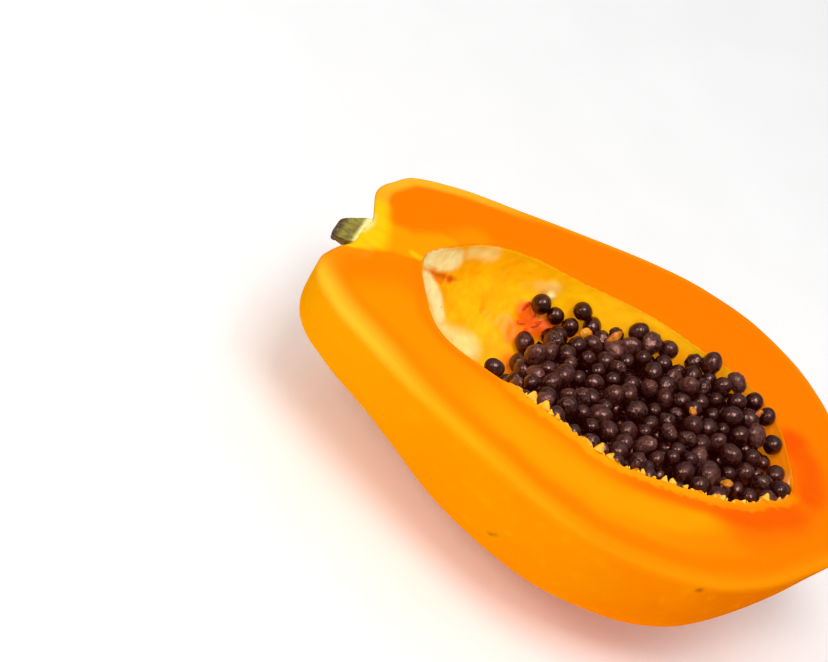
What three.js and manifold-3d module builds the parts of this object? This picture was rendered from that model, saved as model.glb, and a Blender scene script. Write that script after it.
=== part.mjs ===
// Half of a ripe papaya, lying on its back with the cut face up. Millimetres, +Z up.
// X runs from the stem end (-X) to the blossom end (+X), Y across the cut face.
// The origin is under the middle of the fruit, on the surface that it rests on.

import * as THREE from 'three';
import { mergeVertices } from 'three/addons/utils/BufferGeometryUtils.js';
import Module from 'manifold-3d';

const wasm = await Module();
wasm.setup();

// Driving dimensions
const LENGTH = 200;             // end of the stem stub to the tip
const CUT_HEIGHT = 63.2;        // cut face above the surface the half rests on
const DEPTH_RATIO = 0.95;       // depth of the half over its half width, in the middle
const DEPTH_TAPER = 0.0014;     // how much that ratio falls for each mm towards the tip
const TIP_START = 50;           // from here on the underside also sweeps up to the tip
const TIP_SWEEP = 0.5;
const LOBE_DEPTH = 0.008;       // five faint ridges along the fruit, as a share of the radius
const CAVITY_DEPTH_RATIO = 0.9;

const SHOULDER_START = -88;     // from here to the stem end the two shoulders differ:
const SHOULDER_RUN = 7;
const SHOULDER_LEAN = 1.6;      // the +Y one stands back by this, the -Y one stands out
const SHOULDER_REACH = 9;       // distance from the axis over which that comes about
const SHOULDER_DENT = 4.6;      // how far the end is dented under the +Y shoulder
const DENT_REACH = 14;

const BODY_STATIONS = 44;       // steps from stem to tip
const BODY_STEPS = 22;          // steps round the skin, from rim to rim
const CAVITY_STEPS = 16;        // steps round the cavity wall, from edge to edge

const STEM_RADIUS = 7.2;
const STEM_BASE = -92.6;        // just clear of the floor of the notch
const STEM_OFFSET = 0.5;        // the stub's base sits a little towards +Y
const STEM_LEAN = -5;           // how far its end lies towards -Y from there
const STEM_SIDES = 14;
const STEM_RIDGE = 0.07;        // height of its ridges, as a share of its radius

const SEED_RADIUS = 3.25;
const SEED_SPREAD = 0.14;       // share by which a seed is larger or smaller than that
const SEED_LENGTH = 1.16;       // length of a seed over its width
const SEED_FLATNESS = 0.94;
const SEED_SPACING = 6.4;       // between the middles of neighbouring seeds
const SEED_CLOSEST = 4.7;       // a seed nearer than this to another one is left out
const SEED_JITTER = 0.8;        // how far a seed is off its even place, each way
const SEED_GAP = 0.9;           // seeds to the cavity wall
const SEED_NUDGE = 0.6;         // a seed in the wall moves in by this, so many times
const SEED_NUDGES = 5;
const STRAY_GAP = 0.5;          // seeds of the heap to the two that lie apart
const STRAY_SIDES = 10;
const COLUMN_STEP = SEED_SPACING * Math.sin(Math.PI / 3);

const HEAP_DRAW = 20;           // seed of the random draw
const HEAP_START = -36;         // the heap along X
const HEAP_END = 63;
const HEAP_SLOPE_RUN = 24;      // how much longer the way down the slope is than its run
const HEAP_WIDTH = 38;          // half the stretch across that is filled with seeds
const HEAP_NEAR = 3;            // middles of the top seeds under the cut face, along -Y
const HEAP_FAR = 1.1;           // the same along +Y, on the tip's side
const HEAP_FALL = 12.2;         // how much lower they lie along +Y at the foot
const HEAP_FALL_END = 24;       // from the foot to here they rise again
const HEAP_HOLLOW = 2.1;        // how much lower they lie in the middle
const HEAP_FOOT = -24;          // where along X the steep slope down starts
const HEAP_SLOPE = 3.5;
const CORE_GAP = 0.5;           // core of the heap to the cavity wall
const CORE_DROP = 1.4;          // core's surface under the middles of the top seeds
const CORE_MARGIN = 8;          // how far the sheet over it runs past the heap
const CORE_STATIONS = 22;       // its own steps are coarser, which only makes it smaller
const CORE_STEPS = 10;
const CORE_COLUMNS = 14;
const CORE_ROWS = 8;

// Half sections of the fruit and of its cavity: place along X, distance from the axis
const BODY_PROFILE = [
  [-92, 0], [-92.2, 7.8], [-94.6, 13.5], [-96.9, 21.5], [-95, 28.5], [-88, 37],
  [-75.5, 43.8], [-55.5, 51.6], [-30.5, 59.6], [-5.5, 66.6], [14.5, 69.4],
  [34.5, 66.8], [52.5, 59.5], [64.5, 50.6], [74.5, 39.4], [82.5, 27], [88.5, 17.5],
  [93.5, 11], [98, 6.6], [100, 0],
];
// Where the middle of the fruit lies across: place along X, place along Y
const BODY_MIDDLES = [[-98, 0.3], [-72, 1.1], [-50, 0.1], [16, 0], [36, 0.8], [100, 0.8]];
// How much fuller its flanks are than an oval's: place along X, share of the radius
const BODY_FLANKS = [
  [-97, 0.07], [-82, 0], [-60, -0.025], [-26, 0.03], [16, 0.014], [50, 0.05], [84, 0], [100, 0],
];
const CAVITY_PROFILE = [
  [-71.3, 0], [-69.6, 5], [-66, 11.2], [-61.5, 18], [-55.5, 24.2], [-48, 28.2],
  [-38, 30.4], [-24, 31.8], [-10, 34], [4, 36.2], [14, 35.8], [26, 33.6], [38, 30.6],
  [47, 27], [54.5, 21], [60, 13.2], [64, 7.2], [66.8, 0],
];
const CAVITY_MIDDLES = [
  [-72, 3.6], [-58, 1.8], [-36, 3.6], [-10, 4], [12, 3.2], [44, 6], [56, 4.3], [67, -0.4],
];

// Sections of the stem stub: shares of its length and of its radius
const STEM_SECTIONS = [
  [0, 0], [0, 0.9], [0.12, 1], [0.45, 0.9], [0.8, 0.76], [0.95, 0.6], [1, 0.35], [1, 0],
];

// Seeds that lie apart, against the wall and on the edge of the heap
const STRAY_SEEDS = [
  { name: 'stray_seed_side', centre: [-34.9, -23.9, CUT_HEIGHT - 0.8], radius: 2.7 },
  { name: 'stray_seed_tip', centre: [62.9, -1.8, CUT_HEIGHT - 1.2], radius: 2.6 },
];

const cavityTable = sampleProfile(CAVITY_PROFILE, 400);

const flesh = new THREE.MeshStandardMaterial({ color: 0xfb8c0a, roughness: 0.42, metalness: 0 });
const seedCoat = new THREE.MeshStandardMaterial({ color: 0x2a1414, roughness: 0.25, metalness: 0 });
const stalk = new THREE.MeshStandardMaterial({ color: 0x8a8038, roughness: 0.75, metalness: 0 });

function makeRandom(seed) {
  let state = seed;
  return () => {
    state = (state * 1664525 + 1013904223) % 4294967296;
    return state / 4294967296;
  };
}

function sampleProfile(profile, count) {
  const curve = new THREE.SplineCurve(profile.map(([x, r]) => new THREE.Vector2(x, r)));
  const points = curve.getSpacedPoints(count);
  points[0].y = 0;
  points[count].y = 0;
  return points.map((p) => ({ x: p.x, r: Math.max(0, p.y) }));
}

// Value at x in a table of places along X and values, with soft steps between its rows
function softSteps(table, x) {
  const after = Math.max(1, table.findIndex(([end]) => end >= x));
  const [[start, first], [end, last]] = table.slice(after - 1, after + 1);
  return first + (last - first) * THREE.MathUtils.smoothstep(x, start, end);
}

// How far a point of the stem end lies towards the tip from where even shoulders have it
function shoulderShift(x, r, angle) {
  const share = THREE.MathUtils.smoothstep(SHOULDER_START - x, 0, SHOULDER_RUN);
  const lean = SHOULDER_LEAN * Math.tanh(r * Math.cos(angle) / SHOULDER_REACH);
  const dent = SHOULDER_DENT * Math.sin(3 * angle) ** 2 * Math.max(0, Math.cos(angle));
  return share * (lean + dent * Math.min(1, r / DENT_REACH));
}

// Point of the skin at an angle from the +Y rim (0) under the fruit to the -Y rim (PI)
function skinPoint({ x, r }, angle) {
  const flank = softSteps(BODY_FLANKS, x) * Math.sin(2 * angle) ** 2;
  const lobe = LOBE_DEPTH * Math.sin(angle) * Math.cos(5 * (angle - Math.PI / 2));
  const radius = r * (1 + flank + lobe);
  const sweep = TIP_SWEEP * (Math.max(0, x - TIP_START) / (LENGTH / 2 - TIP_START)) ** 2;
  const ratio = DEPTH_RATIO - DEPTH_TAPER * x - sweep;
  const y = softSteps(BODY_MIDDLES, x) + radius * Math.cos(angle);
  const z = CUT_HEIGHT - ratio * radius * Math.sin(angle);
  return [x + shoulderShift(x, r, angle), y, Math.max(0, z)];
}

function cavityMiddle(x) {
  return softSteps(CAVITY_MIDDLES, x);
}

// Point of the cavity wall in the same way, or of a form that is smaller by an inset
function cavityPoint({ x, r }, angle, inset = 0) {
  const radius = Math.max(0, r - inset);
  const shorter = 1 - inset / CAVITY_PROFILE.at(-1)[0];
  const y = cavityMiddle(x) + radius * Math.cos(angle);
  const z = CUT_HEIGHT - CAVITY_DEPTH_RATIO * radius * Math.sin(angle);
  return [x * shorter, y, z];
}

// Closed mesh from sections along the fruit, each a closed ring of the same number of
// points. Its first and last rings are folded flat, which closes the mesh there.
function joinRings(rings) {
  const size = rings[0].length;
  const index = [];
  for (let i = 0; i + 1 < rings.length; i += 1) {
    for (let j = 0; j < size; j += 1) {
      const a = i * size + j;
      const b = i * size + ((j + 1) % size);
      index.push(a, b + size, b, a, a + size, b + size);
    }
  }
  const geometry = new THREE.BufferGeometry();
  geometry.setAttribute('position', new THREE.Float32BufferAttribute(rings.flat(2), 3));
  geometry.setIndex(index);
  return closedGeometry(geometry);
}

// The same shape with the points merged that meet, and without the triangles that this
// flattens
function closedGeometry(geometry) {
  const bare = new THREE.BufferGeometry();
  bare.setAttribute('position', geometry.attributes.position);
  bare.setIndex(geometry.index);
  const merged = mergeVertices(bare, 1e-3);
  const corners = merged.index.array;
  const kept = [];
  for (let t = 0; t < corners.length; t += 3) {
    const [a, b, c] = corners.subarray(t, t + 3);
    if (a !== b && b !== c && c !== a) {
      kept.push(a, b, c);
    }
  }
  merged.setIndex(kept);
  return merged;
}

function toSolid(geometry) {
  return new wasm.Manifold(new wasm.Mesh({
    numProp: 3,
    vertProperties: geometry.attributes.position.array,
    triVerts: Uint32Array.from(geometry.index.array),
  }));
}

function toGeometry(solid) {
  const { vertProperties, triVerts } = solid.getMesh();
  const geometry = new THREE.BufferGeometry();
  geometry.setAttribute('position', new THREE.Float32BufferAttribute(vertProperties, 3));
  geometry.setIndex([...triVerts]);
  return geometry;
}

function makeMesh(name, geometry, material) {
  geometry.computeVertexNormals();
  const mesh = new THREE.Mesh(geometry, material);
  mesh.name = name;
  return mesh;
}

// Evenly spread values from the first to the last, both included
function spread(first, last, count) {
  return Array.from({ length: count + 1 }, (_, i) => first + (last - first) * i / count);
}

// The flesh with its skin: each section runs round the skin, in over the cut face,
// round the cavity and out over the cut face again.
function makeFlesh() {
  const outside = sampleProfile(BODY_PROFILE, BODY_STATIONS);
  const inside = sampleProfile(CAVITY_PROFILE, BODY_STATIONS);
  return joinRings(outside.map((station, i) => [
    ...spread(0, Math.PI, BODY_STEPS).map((angle) => skinPoint(station, angle)),
    ...spread(Math.PI, 0, CAVITY_STEPS).map((angle) => cavityPoint(inside[i], angle)),
  ]));
}

// Radius of the cavity at a place along X
function cavityRadius(x) {
  const after = cavityTable.findIndex((p) => p.x >= x);
  if (after < 1) {
    return 0;
  }
  const [p, q] = [cavityTable[after - 1], cavityTable[after]];
  return p.r + (q.r - p.r) * (x - p.x) / (q.x - p.x);
}

// Share of the way from the -Y side of the heap to its +Y side
function shareAcross(y) {
  return THREE.MathUtils.clamp((y + HEAP_WIDTH) / (2 * HEAP_WIDTH), 0, 1);
}

// Height of the middles of the top seeds: the heap has slid towards the tip and -Y,
// and falls off steeply to the empty stem end of the cavity.
function heapHeight(x, y) {
  const along = THREE.MathUtils.clamp((HEAP_FALL_END - x) / (HEAP_FALL_END - HEAP_FOOT), 0, 1);
  const across = shareAcross(y);
  const depth = THREE.MathUtils.lerp(HEAP_NEAR, HEAP_FAR + HEAP_FALL * along, across);
  const hollow = HEAP_HOLLOW * 4 * across * (1 - across);
  return CUT_HEIGHT - depth - hollow - HEAP_SLOPE * Math.max(0, HEAP_FOOT - x);
}

function isInCavity(point) {
  const depth = Math.max(0, CUT_HEIGHT - point.z) / CAVITY_DEPTH_RATIO;
  const across = point.y - cavityMiddle(point.x);
  return Math.hypot(across, depth) < cavityRadius(point.x) - SEED_GAP;
}

function seedGeometry(centre, radius, random) {
  const geometry = closedGeometry(new THREE.IcosahedronGeometry(1, 0));
  geometry.scale(radius * SEED_LENGTH, radius, radius * SEED_FLATNESS);
  geometry.rotateX(2 * Math.PI * random());
  geometry.rotateY(Math.PI * (random() - 0.5));
  geometry.rotateZ(2 * Math.PI * random());
  geometry.translate(centre.x, centre.y, centre.z);
  return geometry;
}

function points(geometry) {
  const { position } = geometry.attributes;
  return Array.from({ length: position.count }, (_, i) => (
    new THREE.Vector3().fromBufferAttribute(position, i)
  ));
}

// Even places over the heap, in rows that are offset by half a seed. Each is a distance
// along the heap's surface and one across it, so that the rows also cover the slope.
function seedPlaces() {
  const places = [];
  const columns = Math.ceil((HEAP_END - HEAP_START + HEAP_SLOPE_RUN) / COLUMN_STEP);
  for (let column = 0; column <= columns; column += 1) {
    for (let row = 0; row <= 2 * HEAP_WIDTH / SEED_SPACING; row += 1) {
      const y = HEAP_WIDTH - SEED_SPACING * (row + (column % 2) / 2);
      const flat = HEAP_END - COLUMN_STEP * column;
      const beyond = Math.max(0, HEAP_FOOT - flat);
      places.push([flat + beyond - beyond / Math.hypot(1, HEAP_SLOPE), y]);
    }
  }
  return places;
}

// The seeds that show on the heap: each a little off its even place, moved in from the
// cavity wall until it is clear, and left out where it has no room
function makeTopSeeds() {
  const random = makeRandom(HEAP_DRAW);
  const jitter = () => SEED_JITTER * (2 * random() - 1);
  const taken = STRAY_SEEDS.map(({ centre, radius }) => (
    { centre: new THREE.Vector3(...centre), room: radius + SEED_RADIUS * SEED_LENGTH + STRAY_GAP }
  ));
  const seeds = [];
  for (const [evenX, evenY] of seedPlaces()) {
    const radius = SEED_RADIUS * (1 + SEED_SPREAD * (2 * random() - 1));
    const [x, y, rise] = [evenX + jitter(), evenY + jitter(), jitter()];
    const centre = new THREE.Vector3(x, y, heapHeight(x, y) + rise);
    const geometry = seedGeometry(centre, radius, random);
    const inward = new THREE.Vector3(0, cavityMiddle(x) - y, 0).setLength(SEED_NUDGE);
    for (let i = 0; i < SEED_NUDGES && !points(geometry).every(isInCavity); i += 1) {
      geometry.translate(inward.x, inward.y, SEED_NUDGE / 2);
      centre.add(inward).setZ(centre.z + SEED_NUDGE / 2);
    }
    const isClear = taken.every((other) => other.centre.distanceTo(centre) > other.room);
    if (isClear && points(geometry).every(isInCavity)) {
      taken.push({ centre, room: SEED_CLOSEST });
      seeds.push(geometry);
    }
  }
  return seeds;
}

// The heap under its top seeds: what of the cavity lies below a sheet a little under
// their middles
function makeHeapCore() {
  const cavity = sampleProfile(CAVITY_PROFILE, CORE_STATIONS).map((station) => (
    spread(0, Math.PI, CORE_STEPS).map((angle) => cavityPoint(station, angle, CORE_GAP))
  ));
  const under = spread(HEAP_START - CORE_MARGIN, HEAP_END + CORE_MARGIN, CORE_COLUMNS).map((x) => {
    const sheet = spread(-HEAP_WIDTH - CORE_MARGIN, HEAP_WIDTH + CORE_MARGIN, CORE_ROWS)
      .map((y) => [x, y, Math.max(1, heapHeight(x, y) - CORE_DROP)]);
    return [...sheet, [x, HEAP_WIDTH + CORE_MARGIN, 0], [x, -HEAP_WIDTH - CORE_MARGIN, 0]];
  });
  return toSolid(joinRings(cavity)).intersect(toSolid(closeEnds(under)));
}

// Rings with a point added at either end, which closes a mesh whose ends are open
function closeEnds(rings) {
  const middle = (ring) => {
    const box = new THREE.Box3().setFromPoints(ring.map((p) => new THREE.Vector3(...p)));
    return box.getCenter(new THREE.Vector3()).toArray();
  };
  const first = rings[0].map(() => middle(rings[0]));
  const last = rings[0].map(() => middle(rings.at(-1)));
  return joinRings([first, ...rings, last]);
}

// The whole heap as one body: scraps and sealed gaps between seeds are left out
function makeSeeds() {
  const heap = makeTopSeeds().reduce((solid, seed) => solid.add(toSolid(seed)), makeHeapCore());
  const [largest] = heap.decompose().sort((a, b) => b.volume() - a.volume());
  return toGeometry(largest);
}

// A seed that lies apart, with more sides
function makeStraySeed({ centre, radius }, seed) {
  const random = makeRandom(seed);
  const geometry = new THREE.SphereGeometry(1, STRAY_SIDES, STRAY_SIDES - 3);
  geometry.scale(radius * SEED_LENGTH, radius, radius * SEED_FLATNESS);
  geometry.rotateZ(2 * Math.PI * random());
  geometry.translate(...centre);
  return closedGeometry(geometry);
}

// What is left of the stalk: a stub cut along its length with the fruit, its end broken
// off and rounded. Its base follows the slanting floor of the notch.
function makeStem() {
  const length = STEM_BASE + LENGTH / 2;
  return joinRings(STEM_SECTIONS.map(([share, width]) => {
    const x = STEM_BASE - length * share;
    const middle = STEM_OFFSET + STEM_LEAN * share;
    return spread(0, Math.PI, STEM_SIDES).map((angle) => {
      const radius = STEM_RADIUS * width * (1 + STEM_RIDGE * Math.cos(5 * angle));
      const y = middle - radius * Math.cos(angle);
      const slant = (1 - share) * shoulderShift(STEM_BASE, y, 0);
      return [x + slant, y, CUT_HEIGHT - radius * Math.sin(angle)];
    });
  }));
}

const papaya = new THREE.Group();
papaya.add(makeMesh('flesh', makeFlesh(), flesh));
papaya.add(makeMesh('seeds', makeSeeds(), seedCoat));
papaya.add(makeMesh('stem', makeStem(), stalk));
STRAY_SEEDS.forEach((stray, i) => {
  papaya.add(makeMesh(stray.name, makeStraySeed(stray, i + 1), seedCoat));
});
export default papaya;
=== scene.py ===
"""A ripe papaya half on its back: flesh and skin, seed cavity, heap of seeds and stem stub.

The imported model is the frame. Sizes here are millimetres in its axes: X from the stem end
to the blossom tip, Y across the cut face, Z up. Meshes turn them into metres when they are
made. Depths are measured down from the cut face.
"""

import logging
import math
from collections import Counter
from collections.abc import Iterable, Sequence
from dataclasses import dataclass, field, replace
from enum import Enum, IntEnum

import bpy
import numpy as np
from mathutils import Matrix, Vector, noise


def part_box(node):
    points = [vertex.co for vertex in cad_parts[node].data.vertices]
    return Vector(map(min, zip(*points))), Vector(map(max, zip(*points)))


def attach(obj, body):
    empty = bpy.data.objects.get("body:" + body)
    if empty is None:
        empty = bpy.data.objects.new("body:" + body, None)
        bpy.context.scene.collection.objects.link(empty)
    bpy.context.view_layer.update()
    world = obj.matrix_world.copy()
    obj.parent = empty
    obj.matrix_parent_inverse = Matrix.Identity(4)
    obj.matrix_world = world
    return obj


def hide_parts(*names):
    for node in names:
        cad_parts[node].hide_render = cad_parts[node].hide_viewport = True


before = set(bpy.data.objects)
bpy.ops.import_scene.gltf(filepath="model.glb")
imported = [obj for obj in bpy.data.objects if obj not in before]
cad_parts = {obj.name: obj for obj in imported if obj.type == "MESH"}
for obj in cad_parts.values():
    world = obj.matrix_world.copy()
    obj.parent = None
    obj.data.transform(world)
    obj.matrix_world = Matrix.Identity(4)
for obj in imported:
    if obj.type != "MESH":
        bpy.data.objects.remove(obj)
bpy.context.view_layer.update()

LOG = logging.getLogger("papaya")
MM = 0.001
TINY = 1e-6
SPLINE_STEPS = 200
WELD_DIGITS = 4
BATCH = 2000
BODY = "root"

Array = np.ndarray
Colour = tuple[float, float, float, float]
Point = tuple[float, float, float]
Range = tuple[float, float]
Stops = tuple[tuple[float, Colour], ...]


def srgb(red: int, green: int, blue: int) -> Colour:
    """A display colour as the linear one that nodes take.

    Args:
        red: red, from 0 to 255.
        green: green, from 0 to 255.
        blue: blue, from 0 to 255.

    Returns:
        Linear red, green and blue, and full opacity.
    """
    shares = [value / 255 for value in (red, green, blue)]
    linear = [s / 12.92 if s <= 0.04045 else ((s + 0.055) / 1.055) ** 2.4 for s in shares]
    return (linear[0], linear[1], linear[2], 1.0)


def smooth(low: float, high: float, values: Array) -> Array:
    """A soft step from 0 at low to 1 at high."""
    share = np.clip((values - low) / (high - low), 0, 1)
    return share * share * (3 - 2 * share)


def soft_steps(table: Sequence[tuple[float, float]], x: Array) -> Array:
    """Values of a table of places and values, with soft steps between its rows.

    Args:
        table: pairs of place and value, in order of place.
        x: places.

    Returns:
        A value for each of the places.
    """
    ends = np.array(table)
    i = np.clip(np.searchsorted(ends[:, 0], x), 1, len(ends) - 1)
    before, after = ends[i - 1], ends[i]
    share = smooth(0, 1, (x - before[..., 0]) / (after[..., 0] - before[..., 0]))
    return before[..., 1] + (after[..., 1] - before[..., 1]) * share


def unit(vectors: Array) -> Array:
    """The rows of an array of vectors, each made one long."""
    return vectors / np.maximum(np.linalg.norm(vectors, axis=1, keepdims=True), TINY)


def noise_at(points: Array, size: float, draw: float = 0.0) -> Array:
    """Smooth noise from about -1 to 1.

    Args:
        points: places in millimetres, one a row.
        size: size of its features in millimetres.
        draw: offset that gives another pattern.

    Returns:
        One value for each point.
    """
    return np.array([noise.noise(Vector(p) / size + Vector((draw, 0, 0))) for p in points])


# --------------------------------------------------------------------------- materials


class Value:
    """A shader socket that can be used in a Python expression."""

    def __init__(self, graph: "Graph", socket: bpy.types.NodeSocket) -> None:
        """Wraps an output socket of the graph."""
        self.graph = graph
        self.socket = socket

    def _maths(self, operation: str, *inputs: "Value | float") -> "Value":
        """The result of a Math node on these inputs."""
        return self.graph.add("ShaderNodeMath", {"operation": operation}, dict(enumerate(inputs)))

    def __add__(self, other: "Value | float") -> "Value":
        """self + other."""
        return self._maths("ADD", self, other)

    def __radd__(self, other: float) -> "Value":
        """other + self."""
        return self._maths("ADD", other, self)

    def __sub__(self, other: "Value | float") -> "Value":
        """self - other."""
        return self._maths("SUBTRACT", self, other)

    def __rsub__(self, other: float) -> "Value":
        """other - self."""
        return self._maths("SUBTRACT", other, self)

    def __mul__(self, other: "Value | float") -> "Value":
        """self * other."""
        return self._maths("MULTIPLY", self, other)

    def __rmul__(self, other: float) -> "Value":
        """other * self."""
        return self._maths("MULTIPLY", other, self)

    def at_least(self, other: "Value | float") -> "Value":
        """The larger of the two."""
        return self._maths("MAXIMUM", self, other)

    def step(self, low: float, high: float) -> "Value":
        """A soft step from 0 to 1.

        Args:
            low: where the step starts.
            high: where it ends, below low for a step that falls.

        Returns:
            The height of the step.
        """
        settings = {"interpolation_type": "SMOOTHSTEP"}
        if low < high:
            return self.graph.add("ShaderNodeMapRange", settings, {0: self, 1: low, 2: high})
        rise = self.graph.add("ShaderNodeMapRange", settings, {0: self, 1: high, 2: low})
        return 1 - rise


class Graph:
    """The node tree of one material, with a Principled shader at its end."""

    def __init__(self, name: str) -> None:
        """Starts an empty material.

        Args:
            name: name of the material.
        """
        self.material = bpy.data.materials.new(name)
        self.material.use_nodes = True
        self.tree = self.material.node_tree
        self.tree.nodes.clear()
        self.output = self.tree.nodes.new("ShaderNodeOutputMaterial")
        self.shader = self.tree.nodes.new("ShaderNodeBsdfPrincipled")
        self.tree.links.new(self.shader.outputs[0], self.output.inputs[0])

    def put(self, socket: bpy.types.NodeSocket, value: object) -> None:
        """Fills a socket of a node.

        Args:
            socket: an input socket.
            value: a Value to link to it, or a plain number or colour.
        """
        if isinstance(value, Value):
            self.tree.links.new(value.socket, socket)
        else:
            socket.default_value = value

    def add(self, kind: str, settings: dict, inputs: dict, output: int | str = 0) -> Value:
        """Adds a node.

        Args:
            kind: the node's type.
            settings: its properties, which are set first.
            inputs: values or links of its sockets, by index or name.
            output: which of its outputs is returned.

        Returns:
            That output.
        """
        node = self.tree.nodes.new(kind)
        for key, value in settings.items():
            setattr(node, key, value)
        for key, value in inputs.items():
            self.put(node.inputs[key], value)
        return Value(self, node.outputs[output])

    def attribute(self, name: str) -> Value:
        """A number stored on the mesh."""
        return self.add("ShaderNodeAttribute", {"attribute_name": name}, {}, "Fac")

    def place(self) -> Value:
        """The place on the object, in metres."""
        return self.add("ShaderNodeTexCoord", {}, {}, "Object")

    def axis(self, name: str) -> Value:
        """One coordinate of the place on the object, in millimetres."""
        return self.add("ShaderNodeSeparateXYZ", {}, {0: self.place()}, name) * (1 / MM)

    def noise(self, size: float, detail: float = 3.0, stretch: Point = (1, 1, 1)) -> Value:
        """Noise about 0.5, with features of a size in millimetres.

        Args:
            size: size of the features.
            detail: how many finer layers it has.
            stretch: how much longer the features are along each axis.

        Returns:
            The noise.
        """
        scale = tuple(1.0 / s for s in stretch)
        where = self.add("ShaderNodeMapping", {}, {0: self.place(), 3: scale})
        inputs = {"Vector": where, "Scale": 1.0 / (size * MM), "Detail": detail}
        return self.add("ShaderNodeTexNoise", {}, inputs, 0)

    def mix(self, share: Value | float, first: object, second: object) -> Value:
        """A colour that goes from the first to the second with share."""
        settings = {"data_type": "RGBA", "clamp_factor": True}
        return self.add("ShaderNodeMix", settings, {0: share, 6: first, 7: second}, 2)

    def along(self, value: Value, stops: Stops) -> Value:
        """A colour that changes softly from stop to stop of a value.

        Args:
            value: what the colour follows.
            stops: pairs of its value and the colour there.

        Returns:
            The colour.
        """
        colour = stops[0][1]
        for (low, _), (high, following) in zip(stops, stops[1:]):
            colour = self.mix(value.step(low, high), colour, following)
        return colour

    def bump(self, height: Value, distance: float, strength: float = 1.0) -> Value:
        """A normal that is bumped by a height from 0 to 1 of so many millimetres."""
        inputs = {"Height": height, "Distance": distance * MM, "Strength": strength}
        return self.add("ShaderNodeBump", {}, inputs)

    def finish(self, **inputs: object) -> bpy.types.Material:
        """Sets the shader's sockets.

        Args:
            inputs: values or links of the shader's sockets, by name with _ for a space.

        Returns:
            The material.
        """
        for key, value in inputs.items():
            self.put(self.shader.inputs[key.replace("_", " ")], value)
        return self.material


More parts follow.
